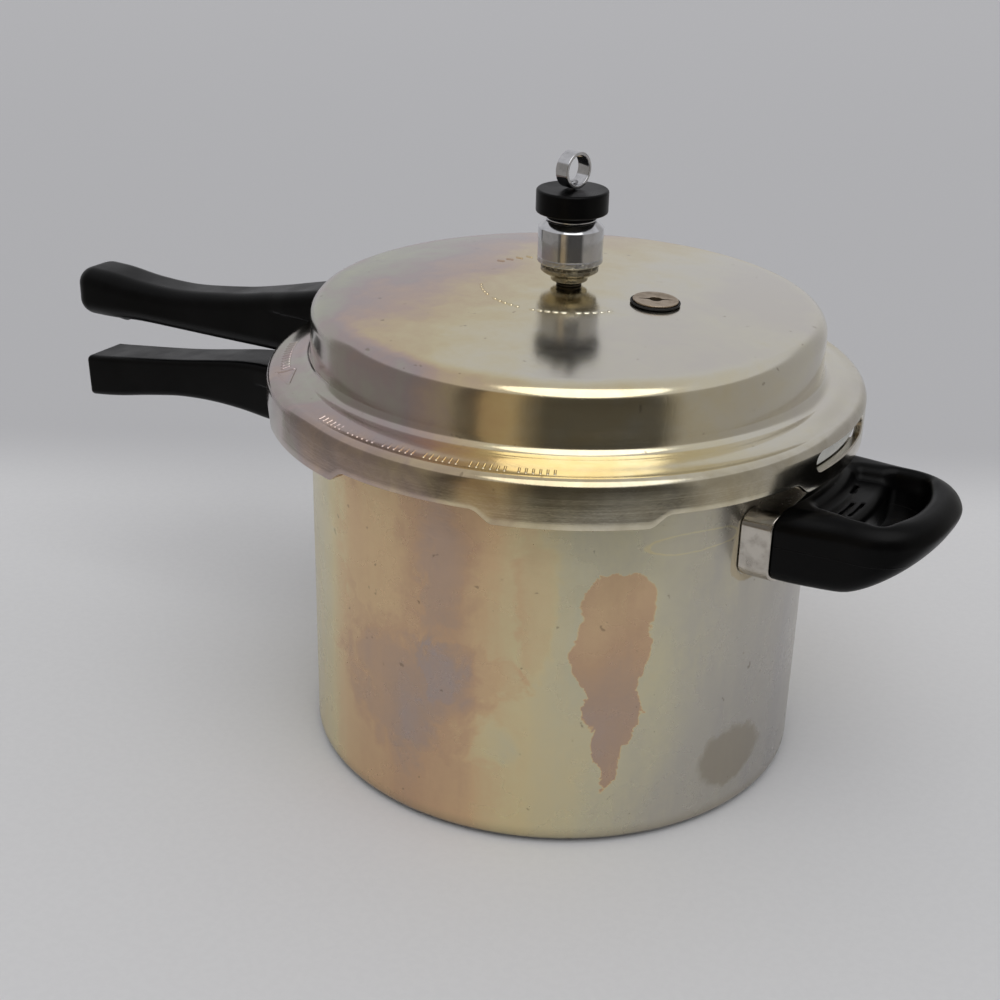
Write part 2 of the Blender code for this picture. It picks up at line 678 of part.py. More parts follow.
def fit_strap(lid, metal):
    """A bent steel strap: up the dome's wall, over the shoulder, down and out into the handle."""
    outer = [(103, 178.7), (107.7, 178.7), (107.7, 173.9), (111.5, 171.9), (128.4, 171.9)]
    outer += [(128.4, 158), (151, 158)]
    inner = [(151, 156.2), (126.6, 156.2), (126.6, 170.1), (103, 170.1)]
    outline = [(x * MM, z * MM) for x, z in outer + inner]
    strap = side_prism("lid_handle_bracket", outline, STRAP_HALF_W, metal)
    hole = rod("lid_bracket_screw_hole", SCREW_R + GAP, 150 * MM, 165 * MM)
    place(strap, rotation=(0.0, 0.0, math.pi))
    place(hole, (-LID_HANDLE_SCREW_S, 0.0, 0.0))
    cut(strap, lid_cover("lid_bracket_cover", GAP), hole)
    hold, size = 5.4 * MM, (LID_RIVET_R, LID_RIVET_HEAD_R, LID_RIVET_HEAD_H)
    for side, y in (("left", LID_RIVET_Y), ("right", -LID_RIVET_Y)):
        pin = rivet(f"lid_bracket_rivet_{side}", hold, metal, *size)
        place(pin, (-102.0 * MM, y, LID_RIVET_Z), (0.0, -math.pi / 2, 0.0))
        bore = rod(f"lid_rivet_hole_{side}", LID_RIVET_R + GAP, 98 * MM, 112 * MM)
        place(bore, (0.0, y, LID_RIVET_Z), (0.0, -math.pi / 2, 0.0))
        cut(lid, bore)
        cut(strap, bore)


# ---------------------------------------------------------------- vent and safety plug

def make_vent(steel, brass):
    stem = 4.0 * MM
    lid_under = CROWN_TOP - LID_WALL
    profile = [(VENT_BORE_R, lid_under - 6.5 * MM), (stem, lid_under - 6.5 * MM), (stem, CROWN_TOP + GAP)]
    profile += [(5.2 * MM, CROWN_TOP + GAP), (5.2 * MM, CROWN_TOP + 1.6 * MM), (VENT_R, CROWN_TOP + 1.6 * MM)]
    profile += [(VENT_R, VENT_TOP - 3 * MM), (VENT_BORE_R + 0.7 * MM, VENT_TOP), (VENT_BORE_R, VENT_TOP)]
    spun("vent_tube", profile, steel)
    ring("vent_tube_washer", VENT_HOLE_R, 8.5 * MM, lid_under - 1.3 * MM, lid_under - GAP, brass)
    nut("vent_tube_nut", 14.0 * MM, stem + GAP, lid_under - 5.8 * MM, lid_under - 1.6 * MM, brass)


def make_safety_plug(lid, steel, rubber, brass, alloy):
    """The plug stands square to the crown on its own seat."""
    radius = math.hypot(*PLUG_AT)
    tilt = math.atan(2 * CROWN_DROP * radius / CROWN_SPAN ** 2)
    around = math.atan2(PLUG_AT[1], PLUG_AT[0])
    seat = bpy.data.objects.new("safety_plug_seat", None)
    bpy.context.scene.collection.objects.link(seat)
    place(seat, (*PLUG_AT, crown_z(radius)), (0.0, tilt, around))
    hole = rod("lid_plug_hole", PLUG_STEM_R + GAP, -8 * MM, 8 * MM)
    cut(lid, hole)
    top = 1.9 * MM
    lip_r = PLUG_R + GAP
    profile = [(PLUG_STEM_R + GAP, GAP), (lip_r + 0.7 * MM, GAP), (lip_r + 0.7 * MM, top - 0.5 * MM)]
    profile += [(lip_r, top - 0.5 * MM), (lip_r, 0.9 * MM), (PLUG_STEM_R + GAP, 0.9 * MM)]
    washer = spun("safety_plug_washer", profile, rubber)
    bore_r = PLUG_CORE_R + GAP
    stem_end = -9.0 * MM
    profile = [(bore_r, stem_end), (PLUG_STEM_R, stem_end), (PLUG_STEM_R, 1.2 * MM), (PLUG_R, 1.2 * MM)]
    profile += [(PLUG_R, top - 0.25 * MM), (PLUG_R - 0.25 * MM, top), (bore_r, top)]
    body = spun("safety_plug_body", profile, steel)
    slot = box("safety_plug_slot", (-6.9 * MM, -0.4 * MM, top - 0.35 * MM), (6.9 * MM, 0.4 * MM, top + MM))
    cut(body, slot)
    core = rod("safety_plug_core", PLUG_CORE_R, stem_end + 0.5 * MM, top - 1.4 * MM, alloy)
    lock = nut("safety_plug_nut", 14.0 * MM, PLUG_STEM_R + GAP, -LID_WALL - 4.4 * MM, -LID_WALL - GAP, brass)
    turn = math.radians(PLUG_SLOT_DEG) - around
    for piece in (hole, washer, body, slot, core, lock, bpy.data.objects["safety_plug_nut_hole"]):
        place(piece, rotation=(0.0, 0.0, turn), parent=seat)


# ---------------------------------------------------------------- weight valve

def make_weight(chrome, steel, black):
    base_top = WEIGHT_BOTTOM - GAP
    profile = [(BASE_BORE_R, BASE_BOTTOM), (BASE_FOOT_R, BASE_BOTTOM), (BASE_FOOT_R, 204.6 * MM)]
    profile += [(BASE_R - 0.5 * MM, 206.9 * MM), (BASE_R, 207.4 * MM)]
    profile += [(BASE_R, base_top), (BASE_BORE_R, base_top)]
    spun("weight_base", profile, chrome)
    bore_top = 225.0 * MM
    pin_r = 2.2 * MM
    hole_r = pin_r + GAP
    profile = [(BASE_BORE_R, WEIGHT_BOTTOM), (WEIGHT_R - 0.5 * MM, WEIGHT_BOTTOM)]
    profile += [(WEIGHT_R, WEIGHT_BOTTOM + 0.5 * MM), (WEIGHT_R, WEIGHT_TOP - 2.8 * MM)]
    profile += [(10.6 * MM, WEIGHT_TOP), (hole_r, WEIGHT_TOP)]
    profile += [(hole_r, bore_top), (BASE_BORE_R, bore_top)]
    spun("weight_body", profile, chrome)
    profile = [(0.0, VENT_TOP - 1.5 * MM), (0.4 * MM, VENT_TOP - 1.5 * MM), (pin_r, VENT_TOP + 2.4 * MM)]
    profile += [(pin_r, WEIGHT_TOP - 0.5 * MM), (0.0, WEIGHT_TOP - 0.5 * MM)]
    spun("valve_pin", profile, steel)
    grip = arc((VENT_R + 0.85 * MM, 207.0 * MM), 0.5 * MM, 0, 300, 5)
    spun("weight_grip_ring", grip, steel)
    collar_top = WEIGHT_TOP + 1.1 * MM
    ring("weight_neck_ring", 2.5 * MM, NECK_R + 0.3 * MM, WEIGHT_TOP + GAP, collar_top, chrome)
    profile = [(0.0, collar_top + GAP), (NECK_R, collar_top + GAP), (NECK_R, KNOB_BOTTOM)]
    profile += [(KNOB_R - 0.8 * MM, KNOB_BOTTOM)]
    profile += [(KNOB_R, KNOB_BOTTOM + 0.8 * MM), (KNOB_R, KNOB_TOP - 1.2 * MM)]
    profile += [(KNOB_R - 1.2 * MM, KNOB_TOP), (0.0, KNOB_TOP)]
    knob = spun("weight_knob", profile, black, 10.0)
    stud_hole = rod("weight_knob_stud_hole", 1.2 * MM + GAP, KNOB_TOP - 5.3 * MM, KNOB_TOP + MM)
    cut(knob, stud_hole)


def make_finger_ring(chrome, steel):
    """A flat band standing on its edge, held by a stud that is headed over inside it."""
    centre_z = KNOB_TOP + GAP + RING_R
    band = ring("finger_ring", RING_INNER_R, RING_R, -RING_HALF_W, RING_HALF_W, chrome, 11.25)
    stud_r = 1.2 * MM
    hole = rod("finger_ring_stud_hole", stud_r + GAP, KNOB_TOP - MM, centre_z)
    cut(band, hole)
    place(band, (0.0, 0.0, centre_z), (math.pi / 2, 0.0, math.radians(RING_TURN_DEG + 90)))
    seat_z = centre_z - RING_INNER_R + GAP
    head_r, head_top = 2.1 * MM, seat_z + 1.4 * MM
    profile = [(0.0, KNOB_TOP - 5.0 * MM), (stud_r, KNOB_TOP - 5.0 * MM), (stud_r, seat_z)]
    profile += [(head_r, seat_z + 0.5 * MM), (head_r, seat_z + 0.9 * MM)]
    profile += [(1.5 * MM, head_top), (0.0, head_top)]
    spun("finger_ring_stud", profile, steel)


# ---------------------------------------------------------------- the whole cooker

def main():
    clear_scene()
    aluminium = material("satin_aluminium", (0.78, 0.74, 0.66), 0.32, 1.0)
    chrome = material("chromed_steel", (0.80, 0.80, 0.82), 0.12, 1.0)
    steel = material("plain_steel", (0.62, 0.62, 0.64), 0.35, 1.0)
    brass = material("brass", (0.72, 0.58, 0.30), 0.35, 1.0)
    alloy = material("fusible_alloy", (0.45, 0.45, 0.47), 0.5, 1.0)
    black = material("black_bakelite", (0.02, 0.02, 0.022), 0.45)
    rubber = material("black_rubber", (0.03, 0.03, 0.03), 0.8)
    silicone = material("pale_silicone", (0.80, 0.80, 0.77), 0.55)
    pan = make_pan(aluminium)
    make_pan_handle(pan, black, chrome)
    make_helper_handle(pan, black, chrome)
    make_gasket(silicone)
    lid = make_lid(aluminium)
    make_lid_handle(lid, black, chrome)
    make_vent(steel, brass)
    make_safety_plug(lid, steel, rubber, brass, alloy)
    make_weight(chrome, steel, black)
    make_finger_ring(chrome, steel)


main()
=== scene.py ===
"""Looks of the stovetop pressure cooker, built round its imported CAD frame.

Units are metres and +Z is up. The origin is the centre of the pan's flat bottom, as in the CAD model:
the helper handle points to +X and the two long handles to -X. Places come from the frame's boxes, and
the radii and fillets that a box can't give repeat the CAD model's own driving dimensions.
"""

from math import atan, atan2, cos, degrees, hypot, pi, radians, sin, sqrt, tan, tau

import bmesh
import bpy
import numpy as np
from mathutils import Matrix, Quaternion, Vector


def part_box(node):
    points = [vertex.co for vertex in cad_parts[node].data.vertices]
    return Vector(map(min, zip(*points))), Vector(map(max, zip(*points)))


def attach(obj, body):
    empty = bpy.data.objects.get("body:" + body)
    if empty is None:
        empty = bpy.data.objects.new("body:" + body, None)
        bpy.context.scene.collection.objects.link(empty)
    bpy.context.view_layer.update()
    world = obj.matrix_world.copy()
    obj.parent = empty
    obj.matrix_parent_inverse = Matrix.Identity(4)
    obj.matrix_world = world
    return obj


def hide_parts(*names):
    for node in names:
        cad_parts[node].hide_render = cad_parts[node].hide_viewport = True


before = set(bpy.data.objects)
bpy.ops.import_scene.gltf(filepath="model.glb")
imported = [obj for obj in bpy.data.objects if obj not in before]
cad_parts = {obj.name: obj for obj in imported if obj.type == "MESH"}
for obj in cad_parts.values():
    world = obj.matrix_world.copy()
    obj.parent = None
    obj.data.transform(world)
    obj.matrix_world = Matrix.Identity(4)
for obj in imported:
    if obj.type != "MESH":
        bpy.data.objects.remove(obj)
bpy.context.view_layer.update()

MM = 0.001
SHARP_DEG = 42
QUARTERS = ((1, 1), (-1, 1), (-1, -1), (1, -1))

# Pan
PAN_R = 106.2 * MM
PAN_FOOT_R = 105.8 * MM
PAN_FLAT_R = 101.3 * MM
PAN_WALL = 3.2 * MM
PAN_FLOOR = 4 * MM
PAN_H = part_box("pan_body")[1].z
FLANGE_T = 3 * MM
FLANGE_R = 113 * MM
PAN_LUG_R = 119 * MM
PAN_LUG_HALF_DEG = 12

# Lid
LID_WALL = 3 * MM
DOME_R = 105.7 * MM
CROWN_TOP = 201 * MM
CROWN_DROP = 5.7 * MM
CROWN_SPAN = 98.7 * MM
DOME_FILLET = 7 * MM
SHOULDER_FILLET = 4.5 * MM
SHOULDER_TOP = 169.6 * MM
SKIRT_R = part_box("lid_shell")[1].x
SKIRT_CORNER = 4.2 * MM
SKIRT_CORNER_Z = 167.25 * MM
SKIRT_BOTTOM = 153 * MM
LID_LUG_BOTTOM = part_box("lid_shell")[0].z
LID_LUG_T = 3 * MM
LID_LUG_INNER_R = 114.5 * MM
LID_LUG_HALF_DEG = 13
LID_RAMP_END_DEG = 17
LID_SHARP_DEG = 35
LUG_PITCH_DEG = 60
LUG_SIDE_DEG = 0.4
VENT_HOLE_R = 4.3 * MM
WINDOW_HALF_DEG = 11.5
WINDOW_LOW, WINDOW_HIGH = 155 * MM, 163 * MM

# Collars and handles
COLLAR_IN_R = 106.5 * MM
COLLAR_OUT_R = 118 * MM
COLLAR_Z = 125.1 * MM
COLLAR_HALF_H = 14.1 * MM
COLLAR_ROUND = 6 * MM
COLLAR_T = 1.5 * MM
HANDLE_GAP = 0.3 * MM
HANDLE_CELL = 0.6 * MM
END_LEAN = 0.05
PAN_HANDLE_END = 263.2 * MM
LID_HANDLE_END = 267 * MM
WELL_R = 4.3 * MM
PAN_WELL = (140 * MM, 117.9 * MM)  # distance from the axis, and the well's top
LID_WELL = (143 * MM, 150.9 * MM)
HELPER_WELL = (126.5 * MM, 121.3 * MM)
PAN_COLLAR_HALF_W = 15 * MM
HELPER_COLLAR_HALF_W = 39 * MM
HELPER_START = 140 * MM
HELPER_OUTSIDE = (30 * MM, 36 * MM)
HELPER_HOLE = (16.5 * MM, 25.5 * MM)
SQUARENESS = 2.3

# Weight valve
RING_CENTRE = (0, 0, 248.3 * MM)
RING_TURN_DEG = -13

# Safety plug
PLUG_AT = (39.5 * MM, -0.5 * MM)
PLUG_SLOT_DEG = 30


# -------- numbers and outlines

def arc(centre, radius, start_deg, end_deg, steps):
    """Points on an arc in a plane, both ends included."""
    turns = [radians(start_deg + (end_deg - start_deg) * i / steps) for i in range(steps + 1)]
    return [(centre[0] + radius * cos(t), centre[1] + radius * sin(t)) for t in turns]


def rounded(corners, steps=6):
    """A closed outline in metres through (x, y, rounding) corners in mm, with an arc at each corner."""
    outline = []
    for i, (x, y, radius) in enumerate(corners):
        here = Vector((x, y))
        if radius == 0:
            outline.append(here * MM)
            continue
        before = Vector(corners[i - 1][:2]) - here
        after = Vector(corners[(i + 1) % len(corners)][:2]) - here
        a, b = before.normalized(), after.normalized()
        half = a.angle(b) / 2
        reach = min(radius / tan(half), 0.45 * before.length, 0.45 * after.length)
        radius = reach * tan(half)
        centre = here + (a + b).normalized() * (radius / sin(half))
        first, last = here + a * reach - centre, here + b * reach - centre
        sweep = degrees(atan2(first.x * last.y - first.y * last.x, first.dot(last)))
        start = degrees(atan2(first.y, first.x))
        curve = [Vector(point) for point in arc(centre, radius, start, start + sweep, steps)]
        outline += [point * MM for point in (here + a * reach * 1.1, *curve, here + b * reach * 1.1)]
    return [tuple(point) for point in outline]


def smooth_step(value, low, high):
    t = np.clip((value - low) / (high - low), 0, 1)
    return t * t * (3 - 2 * t)


def off_lug_centre(angle):
    """Degrees from the nearest lug's centre."""
    return abs((angle + LUG_PITCH_DEG / 2) % LUG_PITCH_DEG - LUG_PITCH_DEG / 2)


# -------- pieces

def new_object(name, data):
    obj = bpy.data.objects.new(name, data)
    bpy.context.scene.collection.objects.link(obj)
    return obj


def add_piece(name, mesh, body, look, replaced=()):
    """A smooth-shaded piece of the cooker that rides on a CAD body and stands for CAD nodes."""
    obj = new_object(name, mesh)
    mesh.materials.clear()
    mesh.materials.append(look)
    mesh.shade_smooth()
    mesh.set_sharp_from_angle(angle=radians(SHARP_DEG))
    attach(obj, body)
    if replaced:
        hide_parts(*replaced)
    return obj


def clean_mesh(name, vertices, faces):
    """A mesh with doubled points merged and its faces turned outwards."""
    mesh = bpy.data.meshes.new(name)
    mesh.from_pydata([tuple(v) for v in vertices], [], [tuple(int(i) for i in f) for f in faces])
    bm = bmesh.new()
    bm.from_mesh(mesh)
    bmesh.ops.remove_doubles(bm, verts=bm.verts, dist=1e-6)
    bmesh.ops.recalc_face_normals(bm, faces=bm.faces)
    bm.to_mesh(mesh)
    bm.free()
    return mesh


def grid_mesh(name, points):
    """A tube or ring over a (rows, columns, 3) array, closed both ways."""
    rows, columns = points.shape[:2]
    index = np.arange(rows * columns).reshape(rows, columns)
    index = np.vstack([index, index[:1]])
    index = np.hstack([index, index[:, :1]])
    quads = np.stack([index[:-1, :-1], index[:-1, 1:], index[1:, 1:], index[1:, :-1]], axis=-1)
    return clean_mesh(name, points.reshape(-1, 3), quads.reshape(-1, 4))


def turned(name, profile_at, angles):
    """A mesh turned about Z from one closed (radius, height) profile per angle in degrees."""
    columns = []
    for angle in angles:
        t = radians(angle)
        profile = np.array(profile_at(angle))
        radius, height = profile[:, 0], profile[:, 1]
        columns.append(np.stack([radius * cos(t), radius * sin(t), height], axis=-1))
    return grid_mesh(name, np.stack(columns, axis=1))


def spun(name, corners, steps):
    """A mesh turned about Z from one outline of (radius, height, rounding) corners in mm."""
    profile = rounded(corners)
    return turned(name, lambda angle: profile, [360 * i / steps for i in range(steps)])


def ring_faces(rows, count):
    """Quads between rows of points that each go round once."""
    return [
        (r * count + i, r * count + (i + 1) % count, (r + 1) * count + (i + 1) % count, (r + 1) * count + i)
        for r in range(rows - 1) for i in range(count)
    ]


def prism(name, rows):
    """A closed object through rows of points that each go round once."""
    count = len(rows[0])
    last = (len(rows) - 1) * count
    faces = ring_faces(len(rows), count) + [tuple(range(count)), tuple(range(last, last + count))]
    return new_object(name, clean_mesh(name, [point for row in rows for point in row], faces))


def carve(obj, cutter):
    """Cuts a cutter out of a piece for good, and removes it."""
    tool = obj.modifiers.new("cut", "BOOLEAN")
    tool.operation = "DIFFERENCE"
    tool.solver = "EXACT"
    tool.object = cutter
    graph = bpy.context.evaluated_depsgraph_get()
    made = bpy.data.meshes.new_from_object(obj.evaluated_get(graph))
    obj.modifiers.clear()
    obj.data = made
    bpy.data.objects.remove(cutter, do_unlink=True)


# -------- signed distances, negative inside

def rounded_box(y, z, half_y, half_z, corner):
    over_y = np.abs(y) - (half_y - corner)
    over_z = np.abs(z) - (half_z - corner)
    outside = np.hypot(np.maximum(over_y, 0), np.maximum(over_z, 0))
    return outside + np.minimum(np.maximum(over_y, over_z), 0) - corner


def both(a, b, radius=0):
    """Where two shapes overlap, with a rounded edge."""
    if np.isscalar(radius) and radius == 0:
        return np.maximum(a, b)
    edge = np.hypot(np.maximum(a + radius, 0), np.maximum(b + radius, 0))
    return np.minimum(-radius, np.maximum(a, b)) + edge


def either(a, b, radius=0):
    """Two shapes joined, with a fillet between them."""
    return -both(-a, -b, radius)


def curve_through(x, knots, values):
    """A smooth curve through the knots, held level beyond both ends."""
    slopes = np.gradient(values, knots)
    x = np.clip(x, knots[0], knots[-1])
    i = np.clip(np.searchsorted(knots, x) - 1, 0, len(knots) - 2)
    width = knots[i + 1] - knots[i]
    t = (x - knots[i]) / width
    start = (2 * t ** 3 - 3 * t ** 2 + 1) * values[i] + (t ** 3 - 2 * t ** 2 + t) * width * slopes[i]
    end = (3 * t ** 2 - 2 * t ** 3) * values[i + 1] + (t ** 3 - t ** 2) * width * slopes[i + 1]
    return start + end


def surface_net(name, field, low, high):
    """A mesh of the surface where field(x, y, z) is 0, with its points moved onto that surface."""
    cell = HANDLE_CELL
    axes = [np.arange(a, b + cell, cell) for a, b in zip(low, high)]
    inside = field(*np.meshgrid(*axes, indexing="ij")) < 0
    shape = np.array(inside.shape) - 1
    filled = sum(
        inside[i:i + shape[0], j:j + shape[1], k:k + shape[2]].astype(int)
        for i in (0, 1) for j in (0, 1) for k in (0, 1)
    )
    mixed = (filled > 0) & (filled < 8)
    number = np.full(mixed.shape, -1)
    number[mixed] = np.arange(mixed.sum())
    points = (np.argwhere(mixed) + 0.5) * cell + np.array(low)
    quads = []
    for axis in range(3):
        u, v = (axis + 1) % 3, (axis + 2) % 3
        before = inside.take(range(shape[axis]), axis)
        after = inside.take(range(1, shape[axis] + 1), axis)
        nodes = np.argwhere(before != after)
        at_u, at_v = nodes[:, u], nodes[:, v]
        nodes = nodes[(at_u > 0) & (at_v > 0) & (at_u < shape[u]) & (at_v < shape[v])]
        step_u, step_v = np.eye(3, dtype=int)[u], np.eye(3, dtype=int)[v]
        ring = [nodes, nodes - step_u, nodes - step_u - step_v, nodes - step_v]
        quad = np.stack([number[tuple(corner.T)] for corner in ring], axis=-1)
        flip = ~before[tuple(nodes.T)]
        quad[flip] = quad[flip][:, ::-1]
        quads.append(quad)
    step = 0.02 * MM
    for _ in range(5):
        value = field(*points.T)
        ahead, behind = (
            np.stack([field(*(points + s * e).T) for e in np.eye(3)], -1) for s in (step, -step)
        )
        slope = (ahead - behind) / (2 * step)
        shift = value[:, None] * slope / np.maximum((slope ** 2).sum(-1, keepdims=True), 0.25)
        points = points - np.clip(shift, -0.5 * cell, 0.5 * cell)
    return clean_mesh(name, points, np.vstack(quads))


# -------- materials

def srgb(red, green, blue):
    """A linear colour from 0-255 display values."""
    shares = (c / 255 for c in (red, green, blue))
    return (*(c / 12.92 if c < 0.0405 else ((c + 0.055) / 1.055) ** 2.4 for c in shares), 1)


class Look:
    """One procedural material. Its methods add nodes and return their output sockets."""

    def __init__(self, name, **fixed):
        self.material = bpy.data.materials.new(name)
        self.material.use_nodes = True
        tree = self.material.node_tree
        self.nodes, self.links = tree.nodes, tree.links
        self.nodes.clear()
        self.shader = self.nodes.new("ShaderNodeBsdfPrincipled")
        output = self.nodes.new("ShaderNodeOutputMaterial")
        self.links.new(self.shader.outputs[0], output.inputs[0])
        self.where = self.nodes.new("ShaderNodeTexCoord").outputs["Object"]
        self.set(**fixed)

    def feed(self, socket, value):
        if isinstance(value, bpy.types.NodeSocket):
            self.links.new(value, socket)
        else:
            socket.default_value = value

    def set(self, **values):
        """Feeds the shader's sockets, whose names have _ for a space here."""
        for name, value in values.items():
            self.feed(self.shader.inputs[name.replace("_", " ")], value)

    def calc(self, operation, *values):
        node = self.nodes.new("ShaderNodeMath")
        node.operation = operation
        for socket, value in zip(node.inputs, values):
            self.feed(socket, value)
        return node.outputs[0]

    def parts(self):
        """X, Y and Z of the place on the cooker."""
        node = self.nodes.new("ShaderNodeSeparateXYZ")
        self.links.new(self.where, node.inputs[0])
        return node.outputs

    def stretch(self, scale):
        node = self.nodes.new("ShaderNodeMapping")
        self.links.new(self.where, node.inputs["Vector"])
        node.inputs["Scale"].default_value = scale
        return node.outputs[0]

    def noise(self, scale, detail=3, roughness=0.55, distortion=0, at=None):
        node = self.nodes.new("ShaderNodeTexNoise")
        names = ("Vector", "Scale", "Detail", "Roughness", "Distortion")
        for socket, value in zip(names, (at or self.where, scale, detail, roughness, distortion)):
            self.feed(node.inputs[socket], value)
        return node.outputs["Fac"]

    def step(self, value, low, high, bottom=0, top=1):
        """From bottom to top, smoothly, while the value goes from low to high."""
        node = self.nodes.new("ShaderNodeMapRange")
        node.interpolation_type = "SMOOTHSTEP"
        names = ("Value", "From Min", "From Max", "To Min", "To Max")
        for socket, item in zip(names, (value, low, high, bottom, top)):
            self.feed(node.inputs[socket], item)
        return node.outputs[0]

    def fall(self, value, low, high):
        """From 1 to 0 while the value goes from low to high."""
        return self.step(value, low, high, 1, 0)

    def ramp(self, value, stops):
        node = self.nodes.new("ShaderNodeValToRGB")
        self.links.new(value, node.inputs[0])
        band = node.color_ramp
        while len(band.elements) < len(stops):
            band.elements.new(0.5)
        for element, (position, colour) in zip(band.elements, stops):
            element.position = position
            element.color = colour if len(colour) == 4 else (*colour, 1)
        return node.outputs["Color"]

    def table(self, share, rows):
        """A value that runs through (share, value) rows."""
        return self.ramp(share, [(place, (value,) * 3) for place, value in rows])

    def mix(self, factor, a, b):
        node = self.nodes.new("ShaderNodeMix")
        node.data_type = "RGBA"
        for i, value in ((0, factor), (6, a), (7, b)):
            self.feed(node.inputs[i], value)
        return node.outputs[2]

    def bump(self, height, distance, strength=1, below=None):
        node = self.nodes.new("ShaderNodeBump")
        self.feed(node.inputs["Height"], height)
        node.inputs["Distance"].default_value = distance
        node.inputs["Strength"].default_value = strength
        if below is not None:
            self.links.new(below, node.inputs["Normal"])
        return node.outputs[0]

    def bearing(self):
        """Degrees about the Z axis, 0 at +X."""
        x, y, _ = self.parts()
        return self.calc("MULTIPLY", self.calc("ARCTAN2", y, x), 180 / pi)

    def turn(self, bearing):
        """The bearing as a share of a turn, from 0 at -180 degrees to 1 at 180."""
        return self.calc("DIVIDE", self.calc("ADD", bearing, 180), 360)

    def from_axis(self, x, y):
        return self.calc("SQRT", self.plus(self.times(x, x), self.times(y, y)))

    def minus(self, a, b):
        return self.calc("SUBTRACT", a, b)

    def size(self, value):
        return self.calc("ABSOLUTE", value)

    def plus(self, *values):
        total = values[0]
        for value in values[1:]:
            total = self.calc("ADD", total, value)
        return total

    def times(self, *values):
        total = values[0]
        for value in values[1:]:
            total = self.calc("MULTIPLY", total, value)
        return total

    def spread(self, value, amount):
        """A noise's swing about its middle, scaled."""
        return self.times(self.minus(value, 0.5), amount)

    def reach(self, bearing, height, at_deg, at_z, half_w, half_h, wobble):
        """Distance from a place on the wall, 1 at the edge of a wobbly ellipse with sizes in mm."""
        across = self.times(self.minus(bearing, at_deg), radians(1) * PAN_R / MM / half_w)
        up = self.times(self.minus(height, at_z * MM), 1 / MM / half_h)
        square = self.plus(self.calc("POWER", across, 2), self.calc("POWER", up, 2))
        return self.plus(self.calc("SQRT", square), wobble)

    def patch(self, bearing, height, at_deg, at_z, half_w, half_h, wobble, edge):
        """1 inside an irregular patch on the wall, 0 outside, `edge` soft."""
        reach = self.reach(bearing, height, at_deg, at_z, half_w, half_h, wobble)
        return self.fall(reach, 1 - edge, 1 + edge)

    def run_down(self, bearing, height, outline, wobble, edge):
        """1 inside a stain whose left and right bearings, from 0 to -80, change with its height."""
        top, most = 160, 80
        up = self.calc("DIVIDE", height, top * MM)
        back = self.table(up, [(z / top, (left + right) / -2 / most) for z, left, right in outline])
        half = self.table(up, [(z / top, (right - left) / 2 / most) for z, left, right in outline])
        off = self.size(self.plus(bearing, self.times(back, most), wobble))
        return self.fall(self.minus(off, self.times(half, most)), -edge, edge)


FILM = (  # what a growing oxide film makes of polished aluminium, by its thickness from 0 to 1
    (0.00, (0.79, 0.745, 0.68)),
    (0.14, (0.83, 0.79, 0.68)),
    (0.27, (0.84, 0.77, 0.58)),
    (0.40, (0.81, 0.70, 0.45)),
    (0.52, (0.75, 0.60, 0.39)),
    (0.64, (0.64, 0.49, 0.41)),
    (0.76, (0.54, 0.45, 0.44)),
    (0.88, (0.55, 0.54, 0.46)),
    (1.00, (0.62, 0.63, 0.47)),
)
# Colours of the satin wall by film thickness. The thin-film end, which the clean right side of the pan takes,
# is darker than clean aluminium: painted shade for the dim surroundings that side reflects.
SATIN_FILM_AND_SHADE = (  # the same on the pan's satin wall
    (0.00, (0.44, 0.42, 0.40)),
    (0.16, (0.53, 0.50, 0.43)),
    (0.30, (0.66, 0.61, 0.43)),
    (0.42, (0.74, 0.63, 0.38)),
    (0.55, (0.72, 0.52, 0.31)),
    (0.68, (0.62, 0.42, 0.27)),
    (0.80, (0.52, 0.38, 0.29)),
    (0.90, (0.46, 0.38, 0.35)),
    (1.00, (0.53, 0.51, 0.36)),
)


def fine_wear(look, rings_across, rings_up, scratch=0.010):
    """Bump of an old metal wall: turning lines, fine grain, and a few scratches."""
    rings = look.noise(1, 3, 0.6, 0, look.stretch((rings_across, rings_across, rings_up)))
    grain = look.noise(1100, 2, 0.6)
    soft = look.bump(look.noise(24, 2), 0.45 * MM, 0.28)
    fine = look.bump(look.plus(look.times(grain, 0.7), rings), 0.016 * MM, 0.5, soft)
    lines = look.noise(1, 1, 0.4, 2, look.stretch((55, 700, 60)))
    cuts = look.step(lines, 0.70, 0.74)
    return look.bump(look.minus(1, cuts), scratch * MM, 0.6, fine)


# How thick the film is round the pan: share of a turn from -X, thickness.
PAN_FILM = (
    (0, 0.34), (0.10, 0.44), (0.155, 0.34), (0.185, 0.58), (0.235, 0.66), (0.275, 0.60), (0.300, 0.40),
    (0.335, 0.30), (0.385, 0.22), (0.43, 0.10), (0.50, 0.04), (0.62, 0.26), (0.72, 0.48), (0.84, 0.30),
    (1, 0.34),
)
# Stains on the pan's wall: bearing in degrees; height, half width and half height in mm; how much
# film they add; how soft their edge is. The last three are on the far side.
PAN_STAINS = (
    (-96, 58, 34, 27, 0.12, 0.30),
    (-82, 72, 22, 16, 0.07, 0.12),
    (-78, 46, 18, 13, -0.10, 0.25),
    (-104, 116, 26, 34, -0.06, 0.10),
    (-88, 112, 17, 26, 0.09, 0.35),
    (-66, 112, 8, 30, 0.08, 0.20),
    (140, 70, 26, 34, 0.22, 0.03),
    (60, 90, 22, 26, 0.20, 0.03),
    (100, 40, 16, 16, -0.18, 0.03),
)
# The main stain's outline: height in mm, then its left and its right bearing in degrees.
MAIN_STAIN = (
    (24, -49.8, -49.2), (36, -51.6, -48), (50, -53.8, -44.6), (60, -55.2, -42.6), (66, -53.4, -43.4),
    (75, -55.5, -43.5), (86, -59.6, -41.4), (100, -57.2, -42), (112, -55.8, -42.9), (122, -53, -44.6),
    (130, -50.5, -46.6),
)


